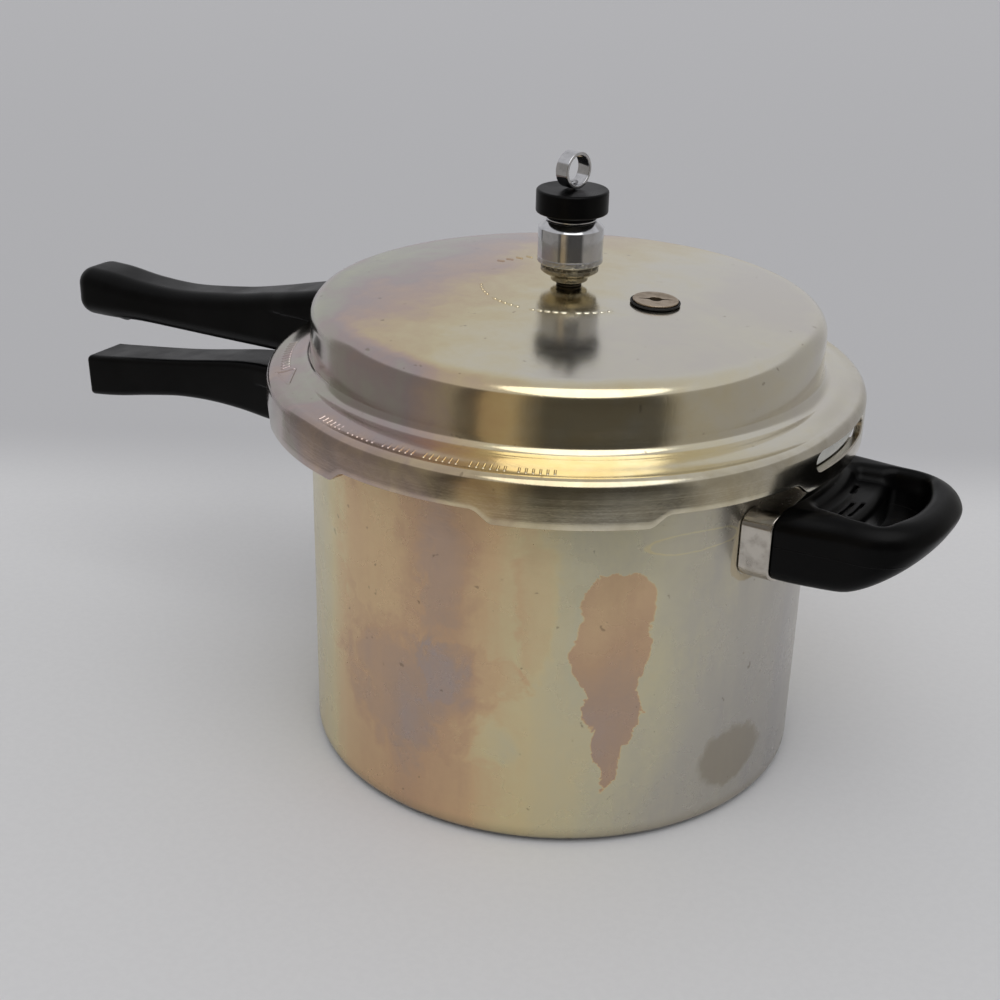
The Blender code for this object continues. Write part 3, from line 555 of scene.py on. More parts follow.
def pan_film(look, bearing, height, ragged):
    """How thick the stain's film is on the pan: bands round it, patches, the main stain, a rim stain."""
    level = look.table(look.turn(bearing), PAN_FILM)
    wide = look.noise(10, 3, 0.5, 0.8, look.stretch((1, 1, 0.40)))
    streak = look.noise(1, 4, 0.6, 0.3, look.stretch((60, 60, 7)))
    speck = look.noise(330, 3, 0.6)
    film = look.plus(level, look.spread(wide, 0.50), look.spread(streak, 0.20), look.spread(speck, 0.07))
    wobble = look.spread(ragged, 2.4)
    for *place, amount, edge in PAN_STAINS:
        film = look.plus(film, look.times(look.patch(bearing, height, *place, wobble, edge), amount))
    lobes = look.plus(look.spread(look.noise(34, 2, 0.5), 7), look.spread(ragged, 9))
    main_stain = look.run_down(bearing, height, MAIN_STAIN, lobes, 0.30)
    torn = look.plus(height, look.spread(ragged, 26 * MM))
    ends = look.times(look.step(torn, 26 * MM, 27 * MM), look.fall(torn, 121 * MM, 122 * MM))
    film = look.plus(film, look.times(main_stain, ends, look.step(height, 55 * MM, 105 * MM, 0.49, 0.34)))
    rim = look.reach(bearing, height, -33, 131, 21, 4.2, look.spread(ragged, 0.8))
    rim = look.fall(look.size(look.minus(rim, 1)), 0.02, 0.10)
    return look.plus(film, look.times(rim, 0.13))


def helper_crust(look, height, ragged):
    """Dried crust on the wall just outside the helper handle's collar, wider below it."""
    x, y, _ = look.parts()
    over_y = look.calc("MAXIMUM", look.minus(look.size(y), HELPER_COLLAR_HALF_W - COLLAR_ROUND), 0)
    rise = look.size(look.minus(height, COLLAR_Z))
    over_z = look.calc("MAXIMUM", look.minus(rise, COLLAR_HALF_H - COLLAR_ROUND), 0)
    away = look.minus(look.from_axis(over_y, over_z), COLLAR_ROUND)
    ring = look.plus(away, look.calc("LESS_THAN", x, 0))
    corner = look.plus(look.times(height, -1), look.times(y, -0.35), COLLAR_Z)
    wide_at = look.step(corner, -8 * MM, 22 * MM, -0.6 * MM, 3 * MM)
    beyond = look.minus(look.plus(ring, look.spread(ragged, 4 * MM)), wide_at)
    return look.times(look.step(ring, 0, 0.4 * MM), look.fall(beyond, -0.3 * MM, 0.5 * MM))


def pan_metal():
    """Satin aluminium, stained by steam: thick film on the left of the front, little on the right. A painted
    contact shadow darkens the bottom corner.
    """
    look = Look("stained_satin_aluminium")
    bearing = look.bearing()
    height = look.parts()[2]
    ragged = look.noise(58, 6, 0.66, 0.5)
    film = pan_film(look, bearing, height, ragged)
    colour = look.ramp(look.calc("MINIMUM", film, 0.90), SATIN_FILM_AND_SHADE)
    beige = look.patch(bearing, height, -17, 27, 17.5, 13, look.spread(ragged, 1.1), 0.16)
    pits = look.step(look.noise(210, 2, 0.5), 0.72, 0.76)
    foot = look.fall(height, 3 * MM, 9 * MM)
    # Painted shade: a near-black band 1.5 to 3.6 mm above the floor stands in for the contact shadow under
    # the pan's bottom corner.
    painted_base_shadow = look.fall(look.plus(height, look.spread(ragged, 1.5 * MM)), 1.5 * MM, 3.6 * MM)
    crust = helper_crust(look, height, ragged)
    # Marks mixed over the film: a beige stain, pits, a darker wash towards the bottom, the painted contact
    # shadow along the bottom corner, and the crust.
    dirt = (
        (beige, 0.62, (0.33, 0.285, 0.215, 1)), (pits, 0.45, (0.16, 0.12, 0.08, 1)),
        (foot, 0.45, (0.30, 0.25, 0.17, 1)), (painted_base_shadow, 0.85, (0.035, 0.028, 0.022, 1)),
        (crust, 0.85, (0.50, 0.42, 0.28, 1)),
    )
    for place, amount, dirt_and_shade_colour in dirt:
        colour = look.mix(look.times(place, amount), colour, dirt_and_shade_colour)
    polish = look.step(look.noise(34, 4, 0.6), 0.2, 0.8, 0.22, 0.32)
    rough = look.plus(polish, look.times(crust, 0.3), look.times(beige, 0.1))
    metallic = look.minus(1, look.times(crust, 0.8))
    look.set(Base_Color=colour, Metallic=metallic, Roughness=rough, Normal=fine_wear(look, 6, 520))
    return look.material


# How thick the film is round the dome's wall and the skirt: bearing in degrees, thickness.
SKIRT_FILM = (
    (-180, 0.80), (-125, 0.80), (-97, 0.72), (-86, 0.62), (-76, 0.46), (-60, 0.36), (-45, 0.30), (-25, 0.22),
    (-5, 0.06), (25, 0.12), (70, 0.36), (120, 0.60), (180, 0.80),
)


def lid_metal():
    """Polished aluminium with a steam stain, thickest towards the handles and on the skirt."""
    look = Look("stained_polished_aluminium", Metallic=1)
    x, y, z = look.parts()
    side = look.step(look.from_axis(x, y), 94 * MM, 103 * MM)
    around = look.table(look.turn(look.bearing()), [((deg + 180) / 360, v) for deg, v in SKIRT_FILM])
    crown = look.calc("MAXIMUM", look.plus(look.times(x, -6), 0.36), 0.04)
    level = look.plus(look.times(crown, look.minus(1, side)), look.times(around, side))
    wide = look.noise(13, 3, 0.55, 1)
    patchy = look.noise(36, 3, 0.6, 0.4)
    ragged = look.noise(80, 5, 0.62, 0.6)
    speck = look.noise(420, 3, 0.6)
    film = look.plus(level, look.spread(wide, 0.44), look.spread(patchy, 0.30), look.spread(ragged, 0.18))
    colour = look.ramp(look.plus(film, look.spread(speck, 0.06)), FILM)
    soil = look.times(look.fall(z, 165.5 * MM, 168.5 * MM), look.step(ragged, 0.25, 0.75, 0.10, 0.34))
    colour = look.mix(soil, colour, (0.16, 0.13, 0.10, 1))
    pits = look.step(look.noise(230, 2, 0.5), 0.72, 0.77)
    colour = look.mix(look.times(pits, 0.38), colour, (0.20, 0.15, 0.10, 1))
    polish = look.step(look.noise(26, 4, 0.6), 0.25, 0.75, 0.12, 0.19)
    look.set(Base_Color=colour, Roughness=look.plus(polish, look.spread(speck, 0.05)))
    satin = look.noise(620, 2, 0.6)
    waves = look.noise(1, 3, 0.55, 0, look.stretch((9, 9, 190)))
    fine = look.bump(satin, 0.02 * MM, 0.5, fine_wear(look, 5, 700, 0.006))
    look.set(Normal=look.bump(waves, 0.10 * MM, 0.35, fine))
    return look.material


def bakelite():
    """Black moulded bakelite, faintly grained and rubbed."""
    look = Look("black_bakelite", Specular_IOR_Level=0.12)
    worn = look.noise(60, 4, 0.6)
    shades = [(0.3, (0.0006, 0.0006, 0.0007)), (0.7, (0.0020, 0.0019, 0.0020))]
    look.set(Base_Color=look.ramp(worn, shades), Roughness=look.step(worn, 0.25, 0.75, 0.27, 0.40))
    grain = look.noise(1400, 2, 0.5)
    x, _, z = look.parts()
    seam = look.fall(look.size(look.minus(z, 127.5 * MM)), 0.10 * MM, 0.30 * MM)
    seam = look.times(seam, look.step(x, 100 * MM, 110 * MM))
    look.set(Normal=look.bump(seam, 0.12 * MM, 0.8, look.bump(grain, 0.05 * MM, 0.35)))
    return look.material


def chrome(name, tint, roughness, dirt, knurled=None):
    """Bright plate, a little greasy and scratched. Its skin is rough in the height range `knurled`."""
    look = Look(name, Metallic=1)
    haze = look.noise(160, 4, 0.6)
    if knurled:
        height = look.parts()[2]
        low, high = knurled
        skin = look.times(look.step(height, low, low + 0.1 * MM), look.fall(height, high - 0.1 * MM, high))
        skin = look.times(skin, look.step(look.noise(900, 2, 0.6), 0.35, 0.6))
        haze = look.minus(haze, look.times(skin, 0.40))
    grime = (*(c * dirt for c in tint[:3]), 1)
    look.set(Base_Color=look.ramp(haze, [(0.28, grime), (0.55, tint)]))
    look.set(Roughness=look.step(haze, 0.2, 0.7, roughness * 2.4, roughness))
    scratch = look.noise(1, 2, 0.5, 0, look.stretch((2600, 2600, 300)))
    normal = look.bump(scratch, 0.008 * MM, 0.3)
    if knurled:
        normal = look.bump(skin, 0.10 * MM, 0.8, normal)
    look.set(Normal=normal)
    return look.material


def rubber(name, dark, light, roughness):
    look = Look(name)
    mottle = look.noise(240, 3, 0.6)
    look.set(Base_Color=look.ramp(mottle, [(0.3, dark), (0.7, light)]))
    look.set(Roughness=look.step(mottle, 0.3, 0.7, roughness, roughness + 0.12))
    look.set(Normal=look.bump(look.noise(900, 2), 0.04 * MM, 0.4))
    return look.material


# -------- pan and lid

def pan_profile(angle):
    edge = FLANGE_R + (PAN_LUG_R - FLANGE_R) * (off_lug_centre(angle) <= PAN_LUG_HALF_DEG + 0.1)
    under = PAN_H - FLANGE_T
    inner = PAN_R - PAN_WALL
    foot, corner, neck, rim = 4.6 * MM, 12 * MM, 1.5 * MM, 2 * MM
    points = [(0, 0), (PAN_FLAT_R - 2 * MM, 0), (PAN_FLAT_R - 0.4 * MM, 0.05 * MM)]
    points += [(PAN_FLAT_R, 0.2 * MM)] + arc((PAN_FOOT_R - foot, foot + 0.6 * MM), foot, -48, 0, 8)
    first, last = foot + MM, under - 2.5 * MM
    points += list(zip(np.linspace(PAN_FOOT_R, PAN_R, 11), np.linspace(first, last, 11)))
    points += arc((PAN_R + neck, under - neck), neck, 180, 90, 6)
    points += arc((edge - MM, under + MM), MM, -90, 0, 4) + arc((edge - MM, PAN_H - MM), MM, 0, 90, 4)
    points += arc((inner + rim, PAN_H - rim), rim, 90, 180, 6)
    points += [(inner, PAN_H - 3 * MM), (inner, PAN_FLOOR + corner + MM)]
    points += arc((inner - corner, PAN_FLOOR + corner), corner, 0, -90, 12)
    return points + [(inner - corner - MM, PAN_FLOOR), (40 * MM, PAN_FLOOR), (0, PAN_FLOOR)]


def lug_columns(edge_deg):
    """Angles every degree, with the two sides of each lug's step added."""
    edges = (edge_deg, edge_deg + LUG_SIDE_DEG)
    sides = [c + s * e for c in range(0, 360, 60) for s in (-1, 1) for e in edges]
    return sorted({round(a % 360, 3) for a in [*map(float, range(360)), *sides]})


def make_pan(look):
    mesh = turned("pan", pan_profile, lug_columns(PAN_LUG_HALF_DEG))
    add_piece("pan_shell", mesh, "pan", look, ["pan_body"])


def crown_z(radius):
    return CROWN_TOP - CROWN_DROP * (radius / CROWN_SPAN) ** 2


def dome_fillet():
    """Centre and start angle of the arc that joins the crown to the dome's wall."""
    tilt = degrees(atan(2 * CROWN_DROP / CROWN_SPAN))
    centre_r = DOME_R - DOME_FILLET
    touch_r = centre_r + DOME_FILLET * sin(radians(tilt))
    centre_z = crown_z(touch_r) - DOME_FILLET * cos(radians(tilt))
    return (centre_r, centre_z), 90 - tilt


def shoulder_z(radius):
    start, end = DOME_R + SHOULDER_FILLET, SKIRT_R - SKIRT_CORNER
    return SHOULDER_TOP - (SHOULDER_TOP - SKIRT_CORNER_Z) * float(smooth_step(radius, start, end))


def lid_skin(depth, steps):
    """The lid's surface from the vent's hole to the skirt's wall, `depth` below the outside."""
    centre, start = dome_fillet()
    last = centre[0] + DOME_FILLET * cos(radians(start))
    points = [(r, crown_z(r) - depth) for r in np.linspace(VENT_HOLE_R, last, 30)[:-1]]
    points += arc(centre, DOME_FILLET - depth, start, 0, steps)
    wall_top, wall_foot = centre[1], SHOULDER_TOP + SHOULDER_FILLET
    points += [(DOME_R - depth, z) for z in np.linspace(wall_top, wall_foot, 9)[1:-1]]
    points += arc((DOME_R + SHOULDER_FILLET, wall_foot), SHOULDER_FILLET + depth, 180, 270, steps)
    shoulder = np.linspace(DOME_R + SHOULDER_FILLET, SKIRT_R - SKIRT_CORNER, 12)[1:-1]
    points += [(r, shoulder_z(r) - depth) for r in shoulder]
    corner = (SKIRT_R - SKIRT_CORNER, SKIRT_CORNER_Z - SKIRT_CORNER)
    return points + arc(corner, SKIRT_CORNER - depth, 90, 0, steps)


def skirt_bottom(angle):
    rise = float(smooth_step(off_lug_centre(angle), LID_LUG_HALF_DEG, LID_RAMP_END_DEG))
    return LID_LUG_BOTTOM + (SKIRT_BOTTOM - LID_LUG_BOTTOM) * rise


OUTER_SKIN = lid_skin(0, 14)
INNER_SKIN = lid_skin(LID_WALL, 8)


def lid_profile(angle):
    bottom = skirt_bottom(angle)
    inner = SKIRT_R - LID_WALL
    edge = 0.7 * MM
    wall_top = SKIRT_CORNER_Z - SKIRT_CORNER
    points = OUTER_SKIN + [(SKIRT_R, z) for z in np.linspace(wall_top, bottom + edge, 6)[1:-1]]
    points += arc((SKIRT_R - edge, bottom + edge), edge, 0, -90, 5)
    in_lug = off_lug_centre(angle) <= LID_LUG_HALF_DEG + 0.1
    lug_r = LID_LUG_INNER_R + edge if in_lug else inner + 2 * edge
    lug_top = bottom + (LID_LUG_T if in_lug else 3 * edge)
    points += arc((lug_r, bottom + edge), edge, -90, -180, 4)
    points += arc((lug_r, lug_top - edge), edge, 180, 90, 4) if in_lug else [(inner, lug_top)] * 5
    points += [(inner, lug_top), (inner, lug_top + 0.5 * MM)]
    return points + list(reversed(INNER_SKIN))


def lid_point(radius, angle_deg, lift):
    """A point on the crown or the shoulder."""
    height = crown_z(radius) if radius < DOME_R else shoulder_z(radius)
    t = radians(angle_deg)
    return Vector((radius * cos(t), radius * sin(t), height + lift))


def raised_stroke(vertices, faces, start, end, width, height):
    """A low bead along the lid from one (radius, bearing) to another, sunk a little at its rim."""
    along, across = 9, 7
    base = len(vertices)
    a, b = lid_point(*start, 0), lid_point(*end, 0)
    length = (b - a).length
    direction = (b - a) / length
    side = direction.cross(Vector((0, 0, 1)))
    for i in range(along):
        s = -0.5 * width + (length + width) * i / (along - 1)
        past = max(-s, s - length, 0) / (0.5 * width)
        taper = sqrt(max(1 - past ** 2, 0))
        for j in range(across):
            q = -1 + 2 * j / (across - 1)
            spot = a + direction * s + side * (q * 0.5 * width * taper)
            rise = height * (1 - q ** 2) * taper - 0.04 * MM
            bearing = degrees(atan2(spot.y, spot.x))
            vertices.append(lid_point(hypot(spot.x, spot.y), bearing, rise))
    for i in range(along - 1):
        for j in range(across - 1):
            corner = base + i * across + j
            faces.append((corner, corner + 1, corner + across + 1, corner + across))


def make_embossing(look):
    """Plain raised dashes and one plain arrow, where the lid is stamped."""
    vertices, faces = [], []
    height = 0.42 * MM

    def stroke(start, end, width, tall=1):
        """A bead between two (radius in mm, bearing) points."""
        start, end = ((radius * MM, angle) for radius, angle in (start, end))
        raised_stroke(vertices, faces, start, end, width * MM, tall * height)

    def dashes(radius, first, last, pitch_deg, length, gaps):
        count = int(abs(last - first) / pitch_deg)
        for i in range(count + 1):
            if i % gaps != gaps - 1:
                angle = first + (last - first) * i / count
                stroke((radius - length / 2, angle), (radius + length / 2, angle), 1.15)

    dashes(117.4, -113, -63, 1.25, 2.3, 7)
    dashes(116, 204, 219, 1.5, 3.4, 12)
    arrow = [(112, 221.5), (117, 228.5), (120, 220.5)]
    for start, end in zip(arrow, arrow[1:] + arrow[:1]):
        stroke(start, end, 1.2)
    for first in (-150, -118, -86, -56):
        for i in range(5):
            angle = first + 5.2 * i
            stroke((35.8, angle), (35.8, angle + 1.7), 1.8, 1.3)
    for i in range(7):
        angle = 158 - 6 * i
        stroke((44, angle), (46.5, angle + 1.5), 1.4, 1.2)
    mesh = clean_mesh("lid_marks", vertices, faces)
    add_piece("lid_marks", mesh, "lid", look)


def window_cutter():
    """The gasket's window, cut along the skirt's radius, with a bevelled outer edge."""
    half_w = radians(WINDOW_HALF_DEG) * SKIRT_R
    half_h = (WINDOW_HIGH - WINDOW_LOW) / 2
    middle = (WINDOW_HIGH + WINDOW_LOW) / 2
    flat = half_w - half_h
    bevel = 0.8 * MM
    rows = []
    for past, grow in ((-12 * MM, 0), (-0.5 * MM, 0), (0.3 * MM, bevel), (6 * MM, bevel)):
        r = SKIRT_R + past
        end = half_h + grow
        outline = arc((flat, 0), end, -90, 90, 14) + arc((-flat, 0), end, 90, 270, 14)
        spread = []
        for (u0, v0), (u1, v1) in zip(outline, outline[1:] + outline[:1]):
            steps = max(1, int(abs(u1 - u0) / (2 * MM)))
            spread += [(u0 + (u1 - u0) * k / steps, v0 + (v1 - v0) * k / steps) for k in range(steps)]
        rows.append([(r * cos(u / SKIRT_R), r * sin(u / SKIRT_R), middle + v) for u, v in spread])
    return prism("window_cutter", rows)


def make_lid(look):
    mesh = turned("lid", lid_profile, lug_columns(LID_LUG_HALF_DEG))
    lid = add_piece("lid_skin", mesh, "lid", look, ["lid_shell"])
    carve(lid, window_cutter())
    lid.data.set_sharp_from_angle(angle=radians(LID_SHARP_DEG))


def make_gasket(look):
    corners = (
        (108, 155.1, 1.6), (120.7, 155.1, 1.2), (120.7, 163.9, 1.5), (108, 163.9, 1.6), (108, 162.1, 0.6),
        (116, 160.8, 0.6), (116, 158.2, 0.6), (108, 156.9, 0.6),
    )
    mesh = spun("gasket", corners, 240)
    add_piece("gasket_ring", mesh, "gasket", look, ["sealing_gasket"])


# -------- collars and handles

def make_collar(name, half_w, direction, node, look):
    """A rounded tube of sheet that stands out from the pan's wall."""
    corners = [(s * half_w / MM, t * COLLAR_HALF_H / MM, COLLAR_ROUND / MM) for s, t in QUARTERS]
    outline = np.array(rounded(corners, 14))
    ahead, behind = np.roll(outline, -1, 0), np.roll(outline, 1, 0)
    tangent = ahead - behind
    normal = np.stack([tangent[:, 1], -tangent[:, 0]], -1)
    normal /= np.linalg.norm(normal, axis=1, keepdims=True)
    thick, near, far = COLLAR_T / MM, COLLAR_IN_R / MM, COLLAR_OUT_R / MM
    section = rounded([(0, near, 0.3), (0, far, 0.5), (thick, far, 0.5), (thick, near, 0.3)], 4)
    rows = []
    for depth, radius in section:
        flat = outline - normal * depth
        x = np.sqrt(radius ** 2 - flat[:, 0] ** 2)
        rows.append(np.stack([direction * x, flat[:, 0], COLLAR_Z + flat[:, 1]], -1))
    mesh = grid_mesh(name, np.stack(rows))
    add_piece(name, mesh, "pan", look, [node])


LID_HANDLE = (  # distance from the axis, underside, top, half width, corner in mm
    (103, 147, 180.4, 14.6, 5),
    (118, 146.6, 179.6, 14.6, 6),
    (133, 146, 176.3, 14.2, 6.5),
    (150, 145.4, 172.4, 13.2, 7),
    (168, 144.8, 168.4, 12.6, 7),
    (186, 144.3, 165.6, 12.2, 7),
    (205, 144, 163.4, 12.2, 7),
    (230, 143.5, 163.5, 12.8, 7.5),
    (248, 142.3, 165, 13.6, 8),
    (267, 141.9, 165.2, 13.6, 8),
)
PAN_HANDLE = (
    (118, 111.2, 140, 15.4, 5),
    (135, 111.4, 139.3, 14.6, 4),
    (150, 111.8, 138.4, 13.4, 3.2),
    (167, 112.7, 136.6, 12.3, 2.8),
    (186, 112.5, 133.1, 11.6, 2.6),
    (204, 110.9, 129.6, 11.4, 2.5),
    (224, 107.2, 126.3, 11.6, 2.5),
    (244, 102.9, 123.3, 12, 2.5),
    (256, 100.9, 121.5, 12.2, 2.5),
    (264, 99.9, 120.5, 12.2, 2.5),
)


def bar_field(stations, s, y, z, end, plan_round, ledge):
    """A long handle, cut off by `end`. Its sides stand out a little above a ledge near the root."""
    knots, low, high, half, corner = (np.array(column) * MM for column in zip(*stations))
    bottom, top = curve_through(s, knots, low), curve_through(s, knots, high)
    ledge_z, ledge_end = ledge
    fade = 1 - smooth_step(s, ledge_end - 12 * MM, ledge_end)
    step_out = 0.7 * MM * fade * smooth_step(z, ledge_z - 0.3 * MM, ledge_z + 0.3 * MM)
    plan = both(np.abs(y) - curve_through(s, knots, half) - step_out, end, plan_round)
    return both(plan, np.abs(z - (bottom + top) / 2) - (top - bottom) / 2, curve_through(s, knots, corner))


def well(s, y, z, at, top):
    """A screw's well from below."""
    return both(np.hypot(s - at, y) - WELL_R, z - top)


def off_collar(radius):
    """Positive inside the collar's outer radius and the gap before it."""
    return COLLAR_OUT_R + HANDLE_GAP - radius


def collar_plug(radius, y, z, half_w, reach):
    """The part of a handle inside its collar."""
    shrink = COLLAR_T + HANDLE_GAP
    block = rounded_box(y, z - COLLAR_Z, half_w - shrink, COLLAR_HALF_H - shrink, COLLAR_ROUND - shrink)
    return np.maximum(np.maximum(block, 110.6 * MM - radius), radius - reach)


def pan_handle_field(x, y, z):
    s = -x
    end = (s - PAN_HANDLE_END + END_LEAN * (120 * MM - z)) / 1.001
    bar = bar_field(PAN_HANDLE, s, y, z, end, 2 * MM, (128.6 * MM, 158 * MM))
    bar = both(bar, off_collar(np.hypot(s, y)), 0.5 * MM)
    plug = collar_plug(np.hypot(s, y), y, z, PAN_COLLAR_HALF_W, 125 * MM)
    return both(np.minimum(bar, plug), -well(s, y, z, *PAN_WELL), 0.4 * MM)


def lid_solid(radius, z):
    """Distance to the lid as a filled shape."""
    dome = both(radius - DOME_R, z - crown_z(radius), DOME_FILLET)
    slope = (SHOULDER_TOP - SKIRT_CORNER_Z) / (SKIRT_R - DOME_R - SKIRT_CORNER - SHOULDER_FILLET)
    plane = SHOULDER_TOP - slope * (radius - DOME_R - SHOULDER_FILLET)
    return either(dome, both(radius - SKIRT_R, z - plane, SKIRT_CORNER), SHOULDER_FILLET)


def lid_handle_field(x, y, z):
    s = -x
    bar = bar_field(LID_HANDLE, s, y, z, s - LID_HANDLE_END, 9 * MM, (166 * MM, 148 * MM))
    nub = np.sqrt((s - 242 * MM) ** 2 + (y + 3 * MM) ** 2 + (z - 145 * MM) ** 2) - 4.2 * MM
    bar = either(bar, nub, 1.5 * MM)
    bar = both(bar, 104 * MM - s)
    bar = both(bar, 0.35 * MM - lid_solid(np.hypot(s, y), z), 0.4 * MM)
    return both(bar, -well(s, y, z, *LID_WELL), 0.4 * MM)


def squared_ellipse(x, y, a, b):
    """Distance to half an ellipse with squared shoulders, which goes straight on below x = 0."""
    u, v = np.maximum(x, 0) / a, np.abs(y) / b
    reach = (u ** SQUARENESS + v ** SQUARENESS) ** (1 / SQUARENESS) + 1e-9
    slope_x = (u / reach) ** (SQUARENESS - 1) / a
    slope_y = (v / reach) ** (SQUARENESS - 1) / b
    return (reach - 1) / np.maximum(np.hypot(slope_x, slope_y), 0.5 / b)


def groove(radius, y, z, at, low_y, high_y, floor):
    """A short groove that runs round the pan's axis."""
    across = np.abs(radius - at) - 0.6 * MM
    along = np.abs(y - (low_y + high_y) / 2) - (high_y - low_y) / 2
    return both(both(across, along, 0.6 * MM), floor - z)


def helper_field(x, y, z):
    """A D-shaped handle whose underside slopes up, with a finger hole and a sunk web at the root."""
    from_start = (x - 139.5 * MM) / MM
    past = (from_start + np.sqrt(from_start ** 2 + 20)) / 2
    low = 111.7 * MM + (0.5 * past + 0.006 * past ** 2) * MM
    lean = np.sqrt(1 + (0.5 * past / (past + 2)) ** 2)
    out = x - HELPER_START
    high = 142.2 * MM + 0.02 * out
    widen = 1 + 0.07 * smooth_step(-x, -140 * MM, -114 * MM)
    plan = squared_ellipse(out, y / widen, *HELPER_OUTSIDE)
    body = both(both(plan, z - high, 8 * MM), (low - z) / lean, 6 * MM)
    radius = np.hypot(x, y)
    hole = both(squared_ellipse(out, y, *HELPER_HOLE), 138 * MM - radius, 3 * MM)
    bearing = np.abs(np.arctan2(y, x))
    room = both(both(124 * MM - radius, radius - 152 * MM), (bearing - radians(10)) * radius, 3 * MM)
    body = both(body, -both(room, 136.5 * MM - z, 2.5 * MM), 5 * MM)
    body = both(body, -both(room, z - 118 * MM, 1.5 * MM), 1.2 * MM)
    body = both(body, -hole, 4.2 * MM)
    for at, low_y, high_y in ((130, -16, -2), (133.6, -15, 0), (126.4, 6, 15)):
        cut = groove(radius, y, z, at * MM, low_y * MM, high_y * MM, 135 * MM)
        body = both(body, -cut, 0.4 * MM)
    body = both(body, off_collar(radius), 0.5 * MM)
    plug = collar_plug(radius, y, z, HELPER_COLLAR_HALF_W, 121 * MM)
    return both(np.minimum(body, plug), -well(x, y, z, *HELPER_WELL), 0.3 * MM)


def make_handles(black, metal):
    def grip(name, body, node, field, low, high):
        add_piece(name, surface_net(node, field, low, high), body, black, [node])

    grip("pan_grip", "pan", "pan_handle", pan_handle_field,
         (-0.265, -0.0175, 0.098), (-0.108, 0.0175, 0.143))
    grip("lid_grip", "lid", "lid_handle", lid_handle_field,
         (-0.269, -0.0175, 0.138), (-0.102, 0.0175, 0.183))
    grip("helper_grip", "pan", "helper_handle", helper_field,
         (0.103, -0.040, 0.109), (0.172, 0.040, 0.1445))
    make_collar("pan_handle_collar", PAN_COLLAR_HALF_W, -1, "pan_handle_bracket", metal)
    make_collar("helper_collar", HELPER_COLLAR_HALF_W, 1, "helper_bracket", metal)


# -------- weight, vent and safety plug

def make_weight(bright, base, black, steel):
    def add(name, node, slot, look, steps, *corners):
        add_piece(name, spun(name, corners, steps), "weight", look, [node])

    add("weight_foot", "weight_base", "chromed_steel", base, 128,
        (5.3, 203.2, 0.3), (7.6, 203.2, 0.3), (7.6, 204.6, 0.2), (11.3, 206.9, 0.3), (11.8, 207.4, 0.2),
        (11.8, 208.7, 0.08), (11.65, 208.8, 0.05), (11.65, 209, 0.05), (11.8, 209.1, 0.08),
        (11.8, 210.3, 0.2), (5.3, 210.3, 0.3))
    add("weight_cylinder", "weight_body", "chromed_steel", bright, 128,
        (5.3, 210.6, 0.2), (12.7, 210.6, 0.1), (13.35, 211.2, 0.2), (13.35, 213.2, 0.06),
        (13.23, 213.3, 0.05), (13.23, 213.45, 0.05), (13.35, 213.55, 0.06), (13.35, 225.2, 0.4),
        (10.6, 228, 0.4), (2.5, 228, 0.2), (2.5, 225, 0.2), (5.3, 225, 0.3))
    add("neck_line", "weight_neck_ring", "chromed_steel", bright, 96,
        (2.5, 228.3, 0.1), (10.3, 228.3, 0.35), (10.3, 229.1, 0.35), (2.5, 229.1, 0.1))
    add("knob", "weight_knob", "black_bakelite", black, 128,
        (0, 229.4, 0), (10, 229.4, 0.4), (10, 231.2, 0.5), (14.65, 231.2, 0.8),
        (14.65, 240.6, 1.1), (0, 240.6, 0))
    band = ((6, -3.1, 0.35), (7.4, -3.1, 0.35), (7.4, 3.1, 0.35), (6, 3.1, 0.35))
    mesh = spun("ring_band", band, 96)
    upright = Matrix.Rotation(pi / 2, 4, "X")
    turn = Matrix.Rotation(radians(RING_TURN_DEG + 90), 4, "Z")
    mesh.transform(Matrix.Translation(RING_CENTRE) @ turn @ upright)
    add_piece("ring_band", mesh, "weight", bright, ["finger_ring"])
    add("ring_stud", "finger_ring_stud", "plain_steel", steel, 48,
        (0, 235.6, 0), (1.2, 235.6, 0.1), (1.2, 242.6, 0.1), (2.1, 243.1, 0.1), (2.1, 243.5, 0.3),
        (1.5, 244, 0.3), (0, 244, 0))


def make_vent(steel):
    corners = (
        (1.5, 191.5, 0.1), (4, 191.5, 0.2), (4, 201.3, 0.1), (5.2, 201.3, 0.1), (5.2, 202, 0.2),
        (3.5, 202, 0.2), (3.5, 216, 0.5), (2.2, 219, 0.2), (1.5, 219, 0.1),
    )
    add_piece("vent_stem", spun("vent_stem", corners, 64), "lid", steel, ["vent_tube"])


def plug_seat():
    radius = hypot(*PLUG_AT)
    tilt = atan(2 * CROWN_DROP * radius / CROWN_SPAN ** 2)
    around = atan2(PLUG_AT[1], PLUG_AT[0])
    lay = Matrix.Rotation(around, 4, "Z") @ Matrix.Rotation(tilt, 4, "Y")
    turn = Matrix.Rotation(radians(PLUG_SLOT_DEG) - around, 4, "Z")
    return Matrix.Translation((*PLUG_AT, crown_z(radius))) @ lay @ turn


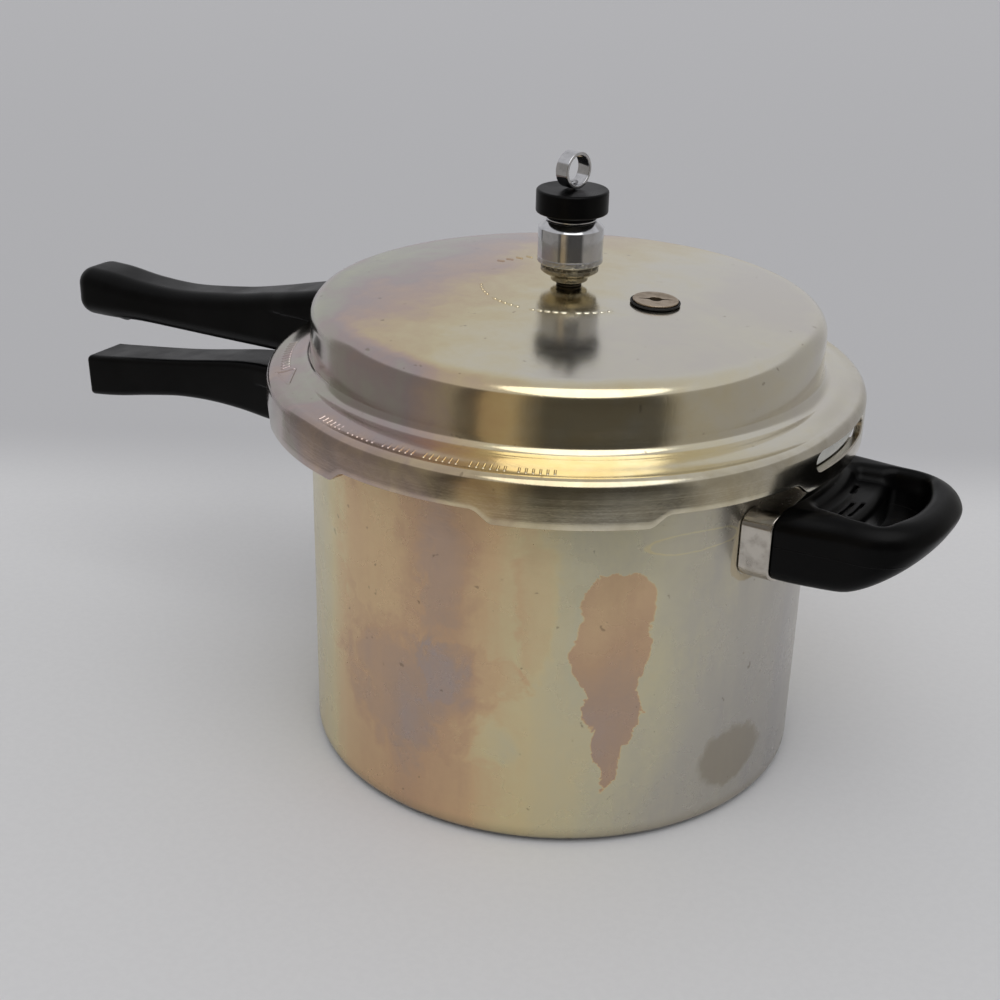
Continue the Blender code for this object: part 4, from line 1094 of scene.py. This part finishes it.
def make_plug(steel, black):
    seat = plug_seat()
    corners = (
        (2.5, -9, 0.1), (4.2, -9, 0.2), (4.2, 1.2, 0.1), (9.2, 1.2, 0.1), (9.2, 1.9, 0.25),
        (2.5, 1.9, 0.15),
    )
    mesh = spun("plug_disc", corners, 128)
    disc = add_piece("plug_disc", mesh, "lid", steel, ["safety_plug_body"])
    half = [(6.9, 0.15), (6.2, 0.30), (3.6, 0.50), (2.3, 0.95)]
    side = half + [(-x, y) for x, y in half[::-1]]
    outline = side + [(x, -y) for x, y in side[::-1]]
    carve(disc, prism("slot_cutter", [[(x * MM, y * MM, z * MM) for x, y in outline] for z in (0.2, 3)]))
    disc.data.transform(seat)
    disc.data.set_sharp_from_angle(angle=radians(SHARP_DEG))
    corners = (
        (4.5, 0.3, 0.1), (10.1, 0.3, 0.3), (10.1, 1.2, 0.3), (9.5, 1.2, 0.15), (9.5, 0.9, 0.1),
        (4.5, 0.9, 0.1),
    )
    mesh = spun("plug_rubber", corners, 128)
    mesh.transform(seat)
    add_piece("plug_rubber", mesh, "lid", black, ["safety_plug_washer"])


# -------- stage, light and camera

CAMERA_AT = Vector((0.3058, -0.5751, 0.3998))
CAMERA_HEADING_DEG = -30.283
CAMERA_DOWN_DEG = 24.505
CAMERA_ROLL_DEG = 1.448
SUN_BEARING_DEG = -49
SUN_UP_DEG = 60
FLOOR_HALF = 8


def make_camera():
    heading, down = radians(CAMERA_HEADING_DEG), radians(CAMERA_DOWN_DEG)
    ahead = Vector((sin(heading) * cos(down), cos(heading) * cos(down), -sin(down)))
    data = bpy.data.cameras.new("camera")
    data.lens = 59.36
    data.sensor_width = 36
    camera = new_object("camera", data)
    camera.location = CAMERA_AT
    camera.rotation_mode = "QUATERNION"
    roll = Quaternion((0, 0, 1), radians(CAMERA_ROLL_DEG))
    camera.rotation_quaternion = ahead.to_track_quat("-Z", "Y") @ roll
    bpy.context.scene.camera = camera


def stage_piece(name, vertices, faces, look):
    mesh = bpy.data.meshes.new(name)
    mesh.from_pydata(vertices, [], faces)
    mesh.materials.append(look.material)
    piece = new_object(name, mesh)
    return piece


def make_floor():
    look = Look("pale_paper", Roughness=0.9, Specular_IOR_Level=0.2)
    heading = radians(CAMERA_HEADING_DEG)
    x, y, _ = look.parts()
    away = look.plus(look.times(x, sin(heading)), look.times(y, cos(heading)))
    # Painted shade: from 0.21 to 0.33 m along the camera's heading the floor turns to the darker tone of a
    # less lit backdrop wall. Far off, that tone grows a little lighter again.
    near = look.mix(look.step(away, 0.21, 0.33), (0.765, 0.765, 0.77, 1), (0.575, 0.575, 0.587, 1))
    far = look.mix(look.step(away, 0.5, 2.5), near, (0.605, 0.605, 0.617, 1))
    fleck = look.step(look.noise(300, 3), 0.4, 0.6, 0, 0.04)
    look.set(Base_Color=look.mix(fleck, far, (0.5, 0.5, 0.51, 1)))
    corners = [(FLOOR_HALF * s, FLOOR_HALF * t, 0) for s, t in QUARTERS]
    stage_piece("floor", corners, [(0, 1, 2, 3)], look)


def make_light():
    world = bpy.data.worlds.new("pale_room")
    world.use_nodes = True
    nodes, links = world.node_tree.nodes, world.node_tree.links
    background = nodes["Background"]
    place = nodes.new("ShaderNodeTexCoord")
    split = nodes.new("ShaderNodeSeparateXYZ")
    ramp = nodes.new("ShaderNodeValToRGB")
    links.new(place.outputs["Generated"], split.inputs[0])
    links.new(split.outputs[2], ramp.inputs[0])
    low, high = ramp.color_ramp.elements
    low.position, low.color = 0.35, (0.52, 0.52, 0.535, 1)
    high.position, high.color = 0.95, (0.50, 0.50, 0.51, 1)
    links.new(ramp.outputs[0], background.inputs[0])
    background.inputs[1].default_value = 1
    bpy.context.scene.world = world
    data = bpy.data.lights.new("softbox", "SUN")
    data.energy = 0.80
    data.angle = radians(54)
    light = new_object("softbox", data)
    t, e = radians(SUN_BEARING_DEG), radians(SUN_UP_DEG)
    away = Vector((cos(t) * cos(e), sin(t) * cos(e), sin(e)))
    light.rotation_mode = "QUATERNION"
    light.rotation_quaternion = (-away).to_track_quat("-Z", "Y")


# The room: bearing in degrees, how bright it is there as reflections see it, how warm from 0 to 1.
ROOM = (
    (-180, 0.27, 0.1), (-108, 0.24, 0.1), (-102, 0.10, 0.1), (-96, 0.10, 0.3), (-94, 0.31, 0.6),
    (-82, 0.33, 0.6), (-77, 0.17, 0.4), (-69, 0.065, 0.1), (-24, 0.065, 0.1), (-14, 0.29, 0.1),
    (20, 0.30, 0.1), (75, 0.36, 0), (95, 0.50, 0), (180, 0.52, 0),
)


def make_room():
    """The darker room in front of the paper, which only shows in reflections."""
    look = Look("dim_room")
    bearing = look.bearing()
    x, y, z = look.parts()
    colour = look.ramp(look.turn(bearing), [
        ((deg + 180) / 360, (v, v * (0.99 - 0.3 * warm), v * (0.98 - 0.7 * warm))) for deg, v, warm in ROOM
    ])
    glow = look.nodes.new("ShaderNodeEmission")
    clear = look.nodes.new("ShaderNodeBsdfTransparent")
    blend = look.nodes.new("ShaderNodeMixShader")
    output = next(node for node in look.nodes if node.type == "OUTPUT_MATERIAL")
    solid = look.times(look.step(look.from_axis(x, y), 0.37, 0.47), look.fall(z, 0.95, 1.25))
    solid = look.times(solid, look.fall(look.size(look.plus(bearing, 48)), 125, 150))
    look.feed(glow.inputs[0], colour)
    look.feed(blend.inputs[0], solid)
    look.feed(blend.inputs[1], clear.outputs[0])
    look.feed(blend.inputs[2], glow.outputs[0])
    look.feed(output.inputs[0], blend.outputs[0])
    rings = [(0.37, 0.003), (1.5, 0.003), (1.6, 0.1), (1.6, 1.3)]
    steps = 72
    turns = [tau * i / steps for i in range(steps)]
    vertices = [(r * cos(t), r * sin(t), z) for r, z in rings for t in turns]
    room = stage_piece("dim_room", vertices, ring_faces(len(rings), steps), look)
    room.visible_camera = False
    room.visible_diffuse = False
    room.visible_shadow = False
    room.visible_transmission = False
    room.visible_volume_scatter = False


# -------- the whole scene

KEPT_PIECES = {  # CAD pieces that are shown as they are, chromed steel unless named here
    "plain_steel": ("pan_handle_nut", "helper_handle_nut", "lid_handle_nut", "valve_pin", "weight_grip_ring"),
    "brass": ("vent_tube_washer", "vent_tube_nut", "safety_plug_nut"),
    "fusible_alloy": ("safety_plug_core",),
}


def main():
    bpy.context.scene.view_settings.view_transform = "Standard"
    make_camera()
    pan_look, lid_look = pan_metal(), lid_metal()
    black = bakelite()
    bright = chrome("bright_chrome", (0.74, 0.74, 0.76, 1), 0.06, 0.75, (210.5 * MM, 213.3 * MM))
    dull = chrome("greasy_chrome", (0.44, 0.40, 0.32, 1), 0.15, 0.30, (208.9 * MM, 210.6 * MM))
    aged = chrome("aged_chrome", (0.58, 0.54, 0.48, 1), 0.13, 0.74)
    steel = chrome("plain_steel", srgb(196, 196, 198), 0.25, 0.75)
    sooty = chrome("sooty_steel", srgb(84, 78, 70), 0.35, 0.5)
    brass = chrome("brass", srgb(214, 184, 118), 0.28, 0.75)
    alloy = chrome("fusible_alloy", srgb(62, 60, 58), 0.5, 0.5)
    disc = chrome("tan_steel", srgb(188, 170, 148), 0.24, 0.6)
    seal = rubber("pale_silicone", srgb(206, 206, 200), srgb(222, 222, 216), 0.45)
    dark_rubber = rubber("black_rubber", srgb(16, 15, 14), srgb(30, 28, 26), 0.55)
    make_pan(pan_look)
    make_lid(lid_look)
    make_embossing(lid_look)
    make_gasket(seal)
    make_handles(black, aged)
    make_weight(bright, dull, black, steel)
    make_vent(sooty)
    make_plug(disc, dark_rubber)
    metals = {"plain_steel": steel, "brass": brass, "fusible_alloy": alloy}
    kept = {name: metals[metal] for metal, names in KEPT_PIECES.items() for name in names}
    for name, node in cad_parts.items():
        if not node.hide_render:
            node.material_slots[0].material = kept.get(name, bright)
    make_floor()
    make_light()
    make_room()


main()
